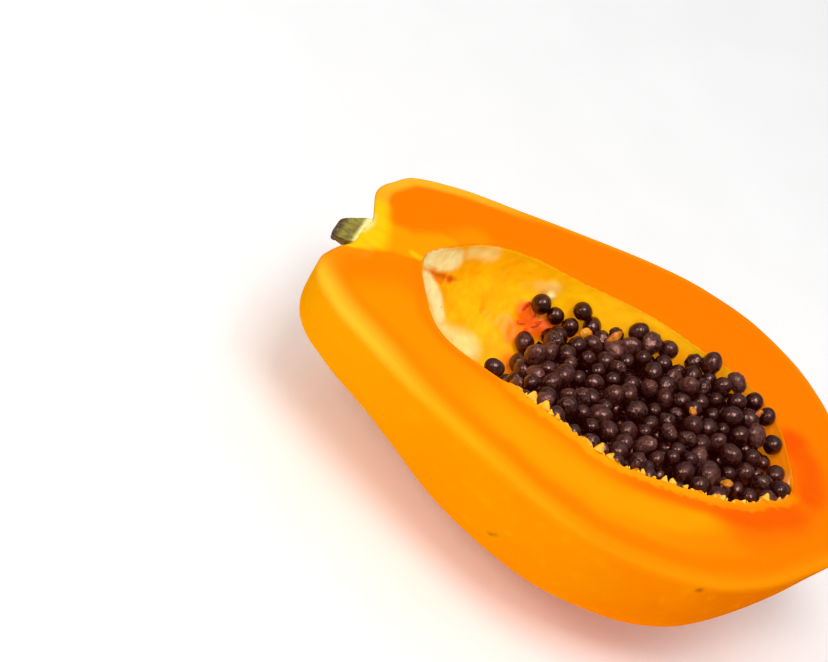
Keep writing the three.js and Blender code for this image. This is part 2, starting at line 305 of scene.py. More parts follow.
@dataclass(frozen=True)
class FleshFinish:
    """Skin, cut face and cavity lining, told apart by distances stored on the mesh.

    Stops are places along X and the colour at each. A Range is where something is gone
    and where it is full. The crease is a line in plan, from which the far side starts.
    """

    skin: Stops = (
        (-90, srgb(255, 163, 2)), (-20, srgb(252, 150, 0)), (8, srgb(251, 144, 0)),
        (38, srgb(250, 132, 0)), (68, srgb(241, 121, 0)),
    )
    skin_pale: Colour = srgb(255, 178, 8)
    rim: Stops = (
        (-82, srgb(255, 188, 40)), (-38, srgb(255, 166, 14)), (-8, srgb(255, 154, 10)),
        (24, srgb(255, 140, 5)), (60, srgb(255, 145, 5)),
    )
    near_face: Stops = (
        (-46, srgb(249, 145, 1)), (-22, srgb(251, 150, 2)), (20, srgb(251, 148, 2)),
        (50, srgb(250, 136, 2)), (66, srgb(248, 122, 2)),
    )
    # Painted sheen: the wet near face, lighter where it reflects the light
    near_painted_sheen: Colour = srgb(254, 159, 4)
    dark_band: Stops = ((-50, srgb(246, 138, 0)), (10, srgb(246, 130, 0)), (30, srgb(246, 126, 0)))
    edge_zone: Stops = (
        (-40, srgb(246, 132, 0)), (8, srgb(247, 133, 1)), (25, srgb(246, 112, 2)),
        (58, srgb(247, 101, 3)),
    )
    lip: Colour = srgb(253, 168, 10)
    far_face: Colour = srgb(252, 125, 0)
    far_band: Colour = srgb(255, 176, 36)
    shoulder: Colour = srgb(250, 128, 0)
    red_zone: Colour = srgb(245, 88, 2)
    core: Colour = srgb(252, 158, 3)
    notch: Colour = srgb(255, 205, 10)
    pith: Colour = srgb(255, 242, 150)
    lining: Colour = srgb(253, 186, 7)
    lining_warm: Colour = srgb(251, 168, 3)
    lining_far: Stops = ((20, srgb(255, 180, 16)), (52, srgb(250, 142, 10)))
    lining_olive: Colour = srgb(240, 170, 8)
    cream: Colour = srgb(255, 245, 174)
    orange: Colour = srgb(246, 120, 6)
    red: Colour = srgb(232, 72, 10)
    brown: Colour = srgb(186, 92, 10)
    speck: Colour = srgb(112, 62, 14)
    grain: Colour = srgb(255, 166, 14)
    crease_slope: float = 0.58
    crease_start: float = 42.8
    # Along X
    stem_end: Range = (-64, -72)
    notch_x: Range = (-84, -90)
    far_band_x: Range = (-38, -66)
    sheen_stem: Range = (-46, -24)
    sheen_tip: Range = (58, 40)
    heap_foot: Range = (-34, -22)
    far_wall: Range = (-26, -4)
    tip_zone: Range = (44, 62)
    # Along Y
    crease_y: Range = (-0.9, 0.9)
    far_y: Range = (-14, 14)
    far_band_y: Range = (8, 22)
    shoulder_y: Range = (17, 31)
    # Inwards from the rim, below 0 on the skin
    skin_rim: Range = (-0.4, -1.4)
    line_outside: Range = (-4.6, -0.9)
    line_inside: Range = (6.6, 0.4)
    far_band_rim: Range = (6.0, 3.2)
    band_start: Range = (2.5, 7.0)
    band_end: Range = (13.5, 8.5)
    sheen_start: Range = (11, 18)
    sheen_end: Range = (28, 21)
    # Outwards from the cavity's edge, below 0 on its wall
    zone_edge: Range = (7.0, 2.4)
    lip_edge: Range = (4.4, 2.4)
    wall_edge: Range = (0.6, 0.0)
    wet_edge: Range = (-0.2, -1.6)
    glow_edge: Range = (0.0, -1.5)
    # The surface
    pores_per_metre: float = 420.0
    roughness: float = 0.34
    relief: float = 0.10
    # Painted light: the lining gives off its own colour, which lifts its shade
    lining_glow: float = 0.36
    lining_coat: float = 0.26
    face_coat: float = 0.06
    coat_roughness: float = 0.25
    coat_index: float = 1.35

    def _skin(self, g: Graph, x: Value, blotch: Value) -> Value:
        """The skin: paler flecks and pores on a yellow that reddens to the tip.

        Args:
            g: the material's graph.
            x: place along the fruit.
            blotch: large, soft noise about 0.

        Returns:
            Its colour.
        """
        skin = g.along(x + blotch * 40, self.skin)
        skin = g.mix(g.noise(5, 4).step(0.5, 0.85) * 0.3, skin, self.skin_pale)
        inputs = {"Vector": g.place(), "Scale": self.pores_per_metre}
        pores = g.add("ShaderNodeTexVoronoi", {}, inputs)
        skin = g.mix(pores.step(0.1, 0.02) * 0.15, skin, self.skin_pale)
        return g.mix(g.attribute("speck"), skin, self.speck)

    def _near(self, g: Graph, x: Value, rim: Value, edge: Value, blotch: Value) -> Value:
        """The -Y half of the face, with darker bands inside the rim and along the lip.

        Between them lies a lighter band of painted sheen.

        Args:
            g: the material's graph.
            x: place along the fruit.
            rim: distance from the rim.
            edge: distance from the cavity's edge.
            blotch: large, soft noise about 0.

        Returns:
            Its colour.
        """
        heaped = (x + blotch * 8).step(*self.heap_foot)
        face = g.along(x + blotch * 30, self.near_face)
        band = (rim + blotch * 3).step(*self.band_start)
        band = band * (rim + blotch * 5).step(*self.band_end)
        face = g.mix(band * 0.95, face, g.along(x, self.dark_band))
        # Painted sheen: a lighter band in from the rim, fading out towards both ends of the fruit
        inward = rim - x * 0.11 + blotch * 5
        light = inward.step(*self.sheen_start) * inward.step(*self.sheen_end)
        light = light * x.step(*self.sheen_stem) * x.step(*self.sheen_tip)
        face = g.mix(light * 0.9, face, self.near_painted_sheen)
        beyond = edge - heaped * 3.4 - x.step(*self.tip_zone) * 2.5 + blotch * 4
        face = g.mix(beyond.step(*self.zone_edge) * 0.9, face, g.along(x, self.edge_zone))
        face = g.mix(g.attribute("shoulder"), face, self.shoulder)
        lip = (edge + (g.noise(2.4, 3) - 0.5) * 4.5).step(*self.lip_edge) * heaped
        return g.mix(lip * 0.75, face, self.lip)

    def _face(self, g: Graph, x: Value, y: Value, rim: Value, edge: Value) -> Value:
        """The cut face, which differs on both sides of its crease and at its tip.

        Args:
            g: the material's graph.
            x: place along the fruit.
            y: place across it.
            rim: distance from the rim.
            edge: distance from the cavity's edge.

        Returns:
            Its colour.
        """
        blotch = g.noise(16, 3) - 0.5
        grain = g.noise(1.3, 2) - 0.5
        streak = g.noise(3.2, 3, (5, 1, 1)) - 0.5
        crease = y - x * self.crease_slope - self.crease_start + streak * 2
        crease = crease.step(*self.crease_y)
        stem_end = x.step(*self.stem_end)
        far = crease * stem_end + (y + blotch * 20).step(*self.far_y) * (1 - stem_end)
        far_face = g.mix(g.attribute("core") * crease, self.far_face, self.core)
        face = g.mix(far, self._near(g, x, rim, edge, blotch), far_face)
        top = (rim + blotch * 2).step(*self.far_band_rim) * x.step(*self.far_band_x)
        top = top * y.step(*self.far_band_y)
        face = g.mix(top * 0.9, face, self.far_band)
        face = g.mix(g.attribute("tip_red") * (0.9 + blotch), face, self.red_zone)
        face = g.mix(g.attribute("notch") * crease * (0.95 + streak), face, self.notch)
        face = g.mix(g.attribute("pith"), face, self.pith)
        return g.mix((streak + grain * 0.6).step(0.1, 0.5) * 0.12, face, self.grain)

    def _wall(self, g: Graph) -> Value:
        """The cavity lining.

        Args:
            g: the material's graph.

        Returns:
            Its colour.
        """
        streak = g.noise(3.2, 3, (1, 1, 4)) - 0.5
        wall = g.mix(g.noise(7, 4).step(0.35, 0.65), self.lining, self.lining_warm)
        wall = g.mix(g.noise(3.4, 4, (1, 1, 3)).step(0.55, 0.8) * 0.4, wall, self.lining_olive)
        x = g.axis("X")
        wall = g.mix(x.step(*self.far_wall), wall, g.along(x, self.lining_far))
        wall = g.mix(g.attribute("orange"), wall, self.orange)
        wall = g.mix(g.attribute("red") * (0.9 + streak), wall, self.red)
        wall = g.mix(g.attribute("cream") * (0.92 + streak), wall, self.cream)
        return g.mix(g.attribute("brown"), wall, self.brown)

    def make(self) -> bpy.types.Material:
        """Makes the material.

        Returns:
            The material, which is new.
        """
        g = Graph("papaya_flesh")
        rim = g.attribute("rim_mm")
        edge = g.attribute("edge_mm")
        x, y = g.axis("X"), g.axis("Y")
        wall = self._wall(g)
        skin = self._skin(g, x, g.noise(16, 3) - 0.5)
        sunk = (edge + g.noise(1.3, 2) * 0.8).step(*self.wall_edge)
        colour = g.mix(sunk, self._face(g, x, y, rim, edge), wall)
        colour = g.mix(rim.step(*self.skin_rim), colour, skin)
        inward = rim * (1 - x.step(-30, -72) * 0.3 + y.step(-10, 10) * 0.5)
        shoulders = y.at_least(0 - y).step(*self.shoulder_y)
        line = rim.step(*self.line_outside) * inward.step(*self.line_inside)
        line = line * (1 - x.step(*self.notch_x) * (1 - shoulders) * 0.85)
        colour = g.mix(line * 0.95, colour, g.along(x, self.rim))

        rough = self.roughness + g.noise(9, 3) * 0.2 + rim.step(0, -1) * 0.16
        normal = g.bump(g.noise(0.9, 2) + g.noise(4, 2) * 0.8, self.relief, 0.6)
        wet = edge.step(*self.wet_edge)
        coat = wet * self.lining_coat + rim.step(0.5, 2.0) * self.face_coat
        # Painted light: the wall glows in its own colour, about a third as much towards the stem
        # end as on the far wall
        lit = edge.step(*self.glow_edge) * (0.36 + x.step(-36, -10) * 0.64)
        return g.finish(
            Base_Color=colour, Roughness=rough, Normal=normal, Specular_IOR_Level=0.0,
            Coat_Weight=coat, Coat_Roughness=self.coat_roughness, Coat_IOR=self.coat_index,
            Emission_Color=g.mix(lit, srgb(0, 0, 0), wall), Emission_Strength=self.lining_glow,
        )


@dataclass(frozen=True)
class SeedFinish:
    """The dark, wet coat of a seed, lighter where dry or wrinkled; its glow is painted light."""

    name: str
    dark: Colour = srgb(19, 1, 1)
    light: Colour = srgb(42, 8, 4)
    dry: Colour = srgb(120, 83, 75)
    # Painted light: a faint dark red glow that lifts the shade on the seeds
    painted_glow: Colour = srgb(42, 4, 1)
    painted_glow_strength: float = 0.3
    sheen: Colour = srgb(255, 190, 175)
    dryness: float = 0.12
    roughness: float = 0.17
    relief: float = 0.12

    def make(self) -> bpy.types.Material:
        """Makes the material.

        Returns:
            The material, which is new.
        """
        g = Graph(self.name)
        tone = g.attribute("tone")
        mottle = g.noise(2.2, 4)
        colour = g.mix((mottle * 0.7 + tone * 0.6).step(0.45, 0.95), self.dark, self.light)
        film = (g.noise(1.1, 3) + tone * 0.25).step(0.72 - self.dryness, 0.95)
        colour = g.mix(film * self.dryness * 2, colour, self.dry)
        rough = self.roughness + film * 0.12 + mottle * 0.1
        normal = g.bump(g.noise(0.8, 3), self.relief, 0.7)
        return g.finish(
            Base_Color=colour, Roughness=rough, Normal=normal, Specular_IOR_Level=1.0,
            Specular_Tint=self.sheen, Emission_Color=self.painted_glow, Emission_Strength=self.painted_glow_strength,
        )


@dataclass(frozen=True)
class PlainFinish:
    """One colour that is mottled towards another, for small pieces and the floor.

    size is the size of the mottling, and bump the depth of its relief. glow is how much of its
    own colour it gives off: it keeps the floor evenly white, and on the fruit's pieces it is
    painted light that lifts their shade.
    """

    name: str
    base: Colour
    other: Colour
    size: float
    roughness: float = 0.5
    bump: float = 0.1
    glow: float = 0.0

    def make(self) -> bpy.types.Material:
        """Makes the material.

        Returns:
            The material, which is new.
        """
        g = Graph(self.name)
        mottle = g.noise(self.size, 4)
        colour = g.mix(mottle.step(0.35, 0.7), self.base, self.other)
        normal = g.bump(g.noise(self.size / 3, 3), self.bump)
        rough = self.roughness + (mottle - 0.5) * 0.2
        return g.finish(
            Base_Color=colour, Roughness=rough, Normal=normal, Emission_Color=colour,
            Emission_Strength=self.glow,
        )


@dataclass(frozen=True)
class StemFinish:
    """Dry stalk: olive bark, paler where it was cut, dark brown at its broken end."""

    bark: Colour = srgb(150, 136, 44)
    bark_dark: Colour = srgb(96, 82, 34)
    cut: Colour = srgb(166, 150, 56)
    base: Colour = srgb(252, 240, 150)
    end: Colour = srgb(84, 56, 30)
    roughness: float = 0.6
    relief: float = 0.6

    def make(self) -> bpy.types.Material:
        """Makes the material.

        Returns:
            The material, which is new.
        """
        g = Graph("papaya_stem")
        fibres = g.noise(0.9, 4, (3, 1, 1)) * 0.6 + g.noise(2.6, 3) * 0.4
        colour = g.mix(fibres.step(0.35, 0.65), self.bark_dark, self.bark)
        colour = g.mix(g.attribute("cut") * 0.7, colour, self.cut)
        colour = g.mix(g.noise(2.6, 3).step(0.45, 0.62) * 0.6, colour, self.bark_dark)
        colour = g.mix(g.attribute("base"), colour, self.base)
        colour = g.mix(g.attribute("end") * g.noise(1.5, 3).step(0.2, 0.5), colour, self.end)
        rough = self.roughness + fibres * 0.2
        return g.finish(Base_Color=colour, Roughness=rough, Normal=g.bump(fibres, self.relief))


# ------------------------------------------------------------------------------ meshes


def make_object(
    name: str, points: Array, faces: Iterable[Sequence[int]], material: bpy.types.Material
) -> bpy.types.Object:
    """A smooth-shaded mesh object.

    Args:
        name: name of the object.
        points: its points in millimetres.
        faces: corners of its faces.
        material: its finish.

    Returns:
        The object, linked to the scene.
    """
    mesh = bpy.data.meshes.new(name)
    mesh.from_pydata((np.asarray(points) * MM).tolist(), [], [list(f) for f in faces])
    mesh.update()
    mesh.polygons.foreach_set("use_smooth", [True] * len(mesh.polygons))
    mesh.materials.append(material)
    made = bpy.data.objects.new(name, mesh)
    bpy.context.scene.collection.objects.link(made)
    return made


def store(made: bpy.types.Object, name: str, values: Array) -> None:
    """Stores one number for each point of a mesh object."""
    made.data.attributes.new(name, "FLOAT", "POINT").data.foreach_set("value", values)


def without_sheets(faces: list[list[int]]) -> list[list[int]]:
    """The faces that don't lie back to back, as they do where a shape is flat."""
    count = Counter(tuple(sorted(face)) for face in faces)
    return [face for face in faces if count[tuple(sorted(face))] == 1]


def ring_faces(stations: int, size: int) -> Array:
    """Quads between closed rings of the same size.

    Args:
        stations: number of rings.
        size: points in each.

    Returns:
        The corners of the quads.
    """
    i, j = np.meshgrid(np.arange(stations - 1), np.arange(size), indexing="ij")
    a = (i * size + j).ravel()
    b = (i * size + (j + 1) % size).ravel()
    return np.stack([a, a + size, b + size, b], axis=1)


def weld(grid: Array, flipped: bool = False) -> tuple[Array, list[list[int]], Array]:
    """Joins closed rings of points by quads, and makes one of points that meet.

    Args:
        grid: points by ring and place in it.
        flipped: whether the faces are turned over.

    Returns:
        The points that are left, the corners of the faces, and which of the old points
        each new one is.
    """
    points, faces = grid.reshape(-1, 3), ring_faces(*grid.shape[:2])
    if flipped:
        faces = faces[:, ::-1]
    places = points.round(WELD_DIGITS)
    _, first, new = np.unique(places, axis=0, return_index=True, return_inverse=True)
    kept = []
    for quad in new.reshape(-1)[faces]:
        corners = list(dict.fromkeys(quad.tolist()))
        if len(corners) > 2:
            kept.append(corners)
    return points[first], kept, first


def spline(profile: Sequence[tuple[float, float]], count: int) -> Array:
    """Evenly spaced points on the smooth curve through a profile.

    Args:
        profile: pairs of place along X and distance from the axis.
        count: number of steps.

    Returns:
        count + 1 pairs.
    """
    knots = np.array(profile)
    last = len(knots) - 1
    t = np.linspace(0, last, SPLINE_STEPS * last + 1)
    i = np.minimum(t.astype(int), last - 1)
    u = (t - i)[:, None]
    before, after = knots[np.maximum(i - 1, 0)], knots[np.minimum(i + 2, last)]
    start, end = knots[i], knots[i + 1]
    v0, v1 = (end - before) / 2, (after - start) / 2
    dense = ((2 * start - 2 * end + v0 + v1) * u + (3 * end - 3 * start - 2 * v0 - v1)) * u * u
    dense += v0 * u + start
    steps = np.linalg.norm(np.diff(dense, axis=0), axis=1)
    along = np.concatenate([[0], np.cumsum(steps)])
    wanted = np.linspace(0, along[-1], count + 1)
    curve = np.stack([np.interp(wanted, along, dense[:, k]) for k in (0, 1)], axis=1)
    curve[[0, -1], 1] = 0
    curve[:, 1] = np.maximum(curve[:, 1], 0)
    return curve


@dataclass(frozen=True)
class FruitForm:
    """The form of the fruit and its cavity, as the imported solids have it.

    body and cavity are half outlines in plan: pairs of place along X and distance from the
    middle line. The middles are pairs of place along X and place of that line along Y.
    body_flanks says how much fuller than an oval the section is half way down its sides.
    """

    cut: float
    length: float
    depth_ratio: float = 0.95
    depth_taper: float = 0.0014
    tip_start: float = 50
    tip_sweep: float = 0.5
    lobe: float = 0.008
    lobes: int = 5
    cavity_ratio: float = 0.9
    shoulder_start: float = -88
    shoulder_run: float = 7
    shoulder_lean: float = 1.6
    shoulder_reach: float = 9
    shoulder_dent: float = 4.6
    dent_reach: float = 14
    body: tuple = (
        (-92, 0), (-92.2, 7.8), (-94.6, 13.5), (-96.9, 21.5), (-95, 28.5), (-88, 37),
        (-75.5, 43.8), (-55.5, 51.6), (-30.5, 59.6), (-5.5, 66.6), (14.5, 69.4),
        (34.5, 66.8), (52.5, 59.5), (64.5, 50.6), (74.5, 39.4), (82.5, 27), (88.5, 17.5),
        (93.5, 11), (98, 6.6), (100, 0),
    )
    body_middles: tuple = ((-98, 0.3), (-72, 1.1), (-50, 0.1), (16, 0), (36, 0.8), (100, 0.8))
    body_flanks: tuple = (
        (-97, 0.07), (-82, 0), (-60, -0.025), (-26, 0.03), (16, 0.014), (50, 0.05), (84, 0),
        (100, 0),
    )
    cavity: tuple = (
        (-71.3, 0), (-69.6, 5), (-66, 11.2), (-61.5, 18), (-55.5, 24.2), (-48, 28.2),
        (-38, 30.4), (-24, 31.8), (-10, 34), (4, 36.2), (14, 35.8), (26, 33.6), (38, 30.6),
        (47, 27), (54.5, 21), (60, 13.2), (64, 7.2), (66.8, 0),
    )
    cavity_middles: tuple = (
        (-72, 3.6), (-58, 1.8), (-36, 3.6), (-10, 4), (12, 3.2), (44, 6), (56, 4.3), (67, -0.4),
    )
    lookup_steps: int = 400

    def middle(self, x: Array) -> Array:
        """Where the middle of the cavity lies along Y, at places along X."""
        return soft_steps(self.cavity_middles, x)

    def axis(self, x: Array) -> Array:
        """Where the middle of the fruit lies along Y, at places along X."""
        return soft_steps(self.body_middles, x)

    def shoulder(self, x: Array, r: Array, angle: Array | float) -> Array:
        """How far the stem end lies towards the tip from where even shoulders have it.

        Args:
            x: places along X.
            r: distance from the axis at each.
            angle: angle from the +Y side, down and round to the -Y side.

        Returns:
            A shift along X for each place.
        """
        lean = self.shoulder_lean * np.tanh(r * np.cos(angle) / self.shoulder_reach)
        dent = self.shoulder_dent * np.sin(3 * angle) ** 2 * np.maximum(0, np.cos(angle))
        shift = lean + dent * np.minimum(1, r / self.dent_reach)
        return shift * smooth(0, self.shoulder_run, self.shoulder_start - x)

    def skin(self, x: Array, r: Array, angle: Array) -> Array:
        """Points of the skin.

        Args:
            x: places along X.
            r: distance from the axis at each.
            angle: angle from the +Y side, down and round to the -Y side.

        Returns:
            A point for each place.
        """
        flank = soft_steps(self.body_flanks, x) * np.sin(2 * angle) ** 2
        wave = np.cos(self.lobes * (angle - math.pi / 2))
        radius = r * (1 + flank + self.lobe * np.sin(angle) * wave)
        past = np.maximum(0, x - self.tip_start) / (self.length / 2 - self.tip_start)
        ratio = self.depth_ratio - self.depth_taper * x - self.tip_sweep * past**2
        y = self.axis(x) + radius * np.cos(angle)
        z = self.cut - ratio * radius * np.sin(angle)
        return np.stack([x + self.shoulder(x, r, angle), y, np.maximum(0, z)], axis=-1)

    def rim(self, outer: Array, side: float) -> Array:
        """One side of the fruit's outline in plan.

        Args:
            outer: pairs of place along X and distance from the axis.
            side: 1 for the +Y side and -1 for the -Y side.

        Returns:
            Pairs of place along X and along Y.
        """
        x, r = outer[:, 0], outer[:, 1]
        shift = self.shoulder(x, r, 0 if side > 0 else math.pi)
        return np.stack([x + shift, self.axis(x) + side * r], axis=1)

    def wall(self, x: Array, r: Array, angle: Array) -> Array:
        """Points of the cavity wall, at an angle from its +Y edge to its -Y edge."""
        y = self.middle(x) + r * np.cos(angle)
        return np.stack([x, y, self.cut - self.cavity_ratio * r * np.sin(angle)], axis=-1)

    def cavity_radius(self, x: Array) -> Array:
        """Half width of the cavity at places along X, and 0 past its ends."""
        curve = spline(self.cavity, self.lookup_steps)
        return np.interp(x, curve[:, 0], curve[:, 1], left=0, right=0)


def outline_normals(curve: Array) -> Array:
    """Normals of a half outline, which point to its axis.

    Args:
        curve: pairs of place along X and distance from the axis.

    Returns:
        A unit normal for each pair.
    """
    along = np.gradient(curve, axis=0)
    along /= np.linalg.norm(along, axis=1, keepdims=True)
    return np.stack([along[:, 1], -along[:, 0]], axis=1)


def nearest(points: Array, outline: Array) -> Array:
    """Distance in plan to the nearest point of an outline.

    Args:
        points: points of two or three coordinates.
        outline: points of an outline.

    Returns:
        A distance for each point.
    """
    gaps = [
        np.linalg.norm(part[:, None, :2] - outline[None, :, :2], axis=2).min(axis=1)
        for part in np.array_split(points, max(1, len(points) // BATCH))
    ]
    return np.concatenate(gaps)


def path_distance(points: Array, path: Sequence[Point]) -> Array:
    """Distance to a path.

    Args:
        points: places in millimetres, one a row.
        path: ends of straight stretches, or a single point.

    Returns:
        A distance for each point.
    """
    if len(path) == 1:
        return np.linalg.norm(points - np.array(path[0]), axis=1)
    best = np.full(len(points), np.inf)
    for start, end in zip(np.array(path[:-1]), np.array(path[1:])):
        step = end - start
        share = np.clip((points - start) @ step / (step @ step), 0, 1)
        best = np.minimum(best, np.linalg.norm(points - start - share[:, None] * step, axis=1))
    return best


class Zone(IntEnum):
    """The three surfaces of the flesh."""

    SKIN = 0
    FACE = 1
    WALL = 2


class Tint(Enum):
    """What a mark on the flesh is coloured like."""

    CREAM = "cream"
    ORANGE = "orange"
    RED = "red"
    BROWN = "brown"
    SPECK = "speck"
    CORE = "core"
    NOTCH = "notch"
    PITH = "pith"
    SHOULDER = "shoulder"
    TIP_RED = "tip_red"


@dataclass(frozen=True)
class Mark:
    """A coloured place on the flesh, which may be raised or sunk.

    path is in the frame's X and Y and in height above the cut face. The mark is full out
    to inner and gone at outer. relief raises the surface by so much in its middle.
    """

    tint: Tint
    path: tuple[Point, ...]
    inner: float
    outer: float
    strength: float = 1.0
    relief: float = 0.0
    ragged: float = 1.0


LINING_MARKS = (
    Mark(Tint.CREAM, ((-69.5, 8, -2.5), (-66, 13, -4), (-62, 17.5, -5.5)), 2.2, 5, 0.95),
    Mark(Tint.CREAM, ((-58, 22.5, -3), (-52, 27, -2.5)), 1.0, 4, 0.45),
    Mark(
        Tint.CREAM, ((-67, 4, -8), (-65, 7, -12), (-61, 8, -16), (-57, 7, -19)),
        2.0, 4.5, 0.95, 0.4,
    ),
    Mark(Tint.CREAM, ((-58, 2, -19), (-52, 4, -22), (-44, 8, -25)), 2.0, 7, 0.55, 0.4),
    Mark(Tint.CREAM, ((-29.4, 33.6, -9.4),), 0.6, 2.2, 0.9, 0.8),
    Mark(Tint.CREAM, ((-37, 29.5, -9), (-30, 33.5, -6)), 0.8, 3.5, 0.3, 0.4),
    Mark(Tint.ORANGE, ((-33, 22, -21), (-27, 27, -19), (-18, 30, -16)), 2.5, 6, 0.85),
    Mark(Tint.ORANGE, ((-29, 13, -26), (-29, 0, -28), (-31, -12, -24)), 2.5, 6, 0.85),
    Mark(Tint.ORANGE, ((-69, 7, -7), (-62.7, 13.6, -11.3)), 1.2, 3.0, 0.85, -1.0),
    Mark(
        Tint.RED, ((-33, 28.5, -17), (-27, 28.4, -19), (-22, 29.5, -17)),
        2.0, 5.5, 0.85, 1.2, 2.0,
    ),
    Mark(Tint.RED, ((-30, 24, -22),), 1.0, 3.5, 0.8, 0.8, 2.0),
    Mark(Tint.RED, ((-60.5, 16, -12),), 0.8, 2.0, 0.85),
    Mark(
        Tint.BROWN, ((-66.8, 9.8, -8.3), (-60, 16.3, -12), (-51.5, 23.3, -13)),
        0.2, 1.1, 0.5, -0.8,
    ),
    Mark(Tint.BROWN, ((-66.8, 9.8, -8.3),), 0.4, 1.1, 0.9, -0.8),
    Mark(
        Tint.BROWN, ((-50.5, 23.6, -13.4), (-47, 22.5, -17), (-45.5, 20.9, -20)),
        0.3, 1.5, 0.4, -1.0,
    ),
    Mark(Tint.BROWN, ((-57.9, 9.5, -18.4),), 0.1, 0.6, 0.6),
    Mark(Tint.BROWN, ((-45, 30.6, -8.6),), 0.1, 0.6, 0.5),
    Mark(Tint.ORANGE, ((4, 38, -9), (18, 37, -8), (30, 36, -6)), 2, 6, 0.35),
    Mark(Tint.ORANGE, ((50, 28, -3), (61, 15, -2), (65, 3, -2)), 3, 8, 0.5),
)
FACE_MARKS = (
    Mark(Tint.CORE, ((-88, 3, 0), (-75, 6, 0), (-66, 14, 0)), 4, 9, 0.95),
    Mark(Tint.CORE, ((-66, 15, 0), (-60, 26, 0)), 2.5, 8, 0.5),
    Mark(Tint.NOTCH, ((-96, -9, 0), (-89, -1, 0), (-91.5, 7, 0), (-93.5, 12, 0)), 3.2, 8.5, 0.95),
    Mark(Tint.NOTCH, ((-75, 2.6, 0), (-70.8, 3.2, 0)), 0.4, 1.8, 0.7),
    Mark(Tint.PITH, ((-92.6, 0, 0), (-91.8, 4, 0), (-93, 9.5, 0)), 0.8, 2.6, 0.9),
    Mark(Tint.SHOULDER, ((-92, -20, 0), (-83, -12, 0), (-74, -6, 0), (-69, -7, 0)), 1, 14, 0.9),
    Mark(Tint.TIP_RED, ((62, 21, 0), (69, 13, 0), (72, 4, 0)), 2, 10, 0.95),
    Mark(Tint.TIP_RED, ((52, -26, 0), (61, -21, 0), (69, -12, 0)), 1.0, 11, 0.55),
)
SKIN_MARKS = (
    Mark(Tint.SPECK, ((-10.3, -60.2, -27.2), (-8.6, -60.9, -26.5)), 0.3, 1.2, 0.8, -0.1),
    Mark(Tint.SPECK, ((51.0, -59.6, -2.8),), 0.5, 1.6, 0.9, -0.15),
    Mark(Tint.SPECK, ((28.6, -66.6, -13.0),), 0.2, 0.9, 0.6),
)
MARKS = {Zone.WALL: LINING_MARKS, Zone.FACE: FACE_MARKS, Zone.SKIN: SKIN_MARKS}


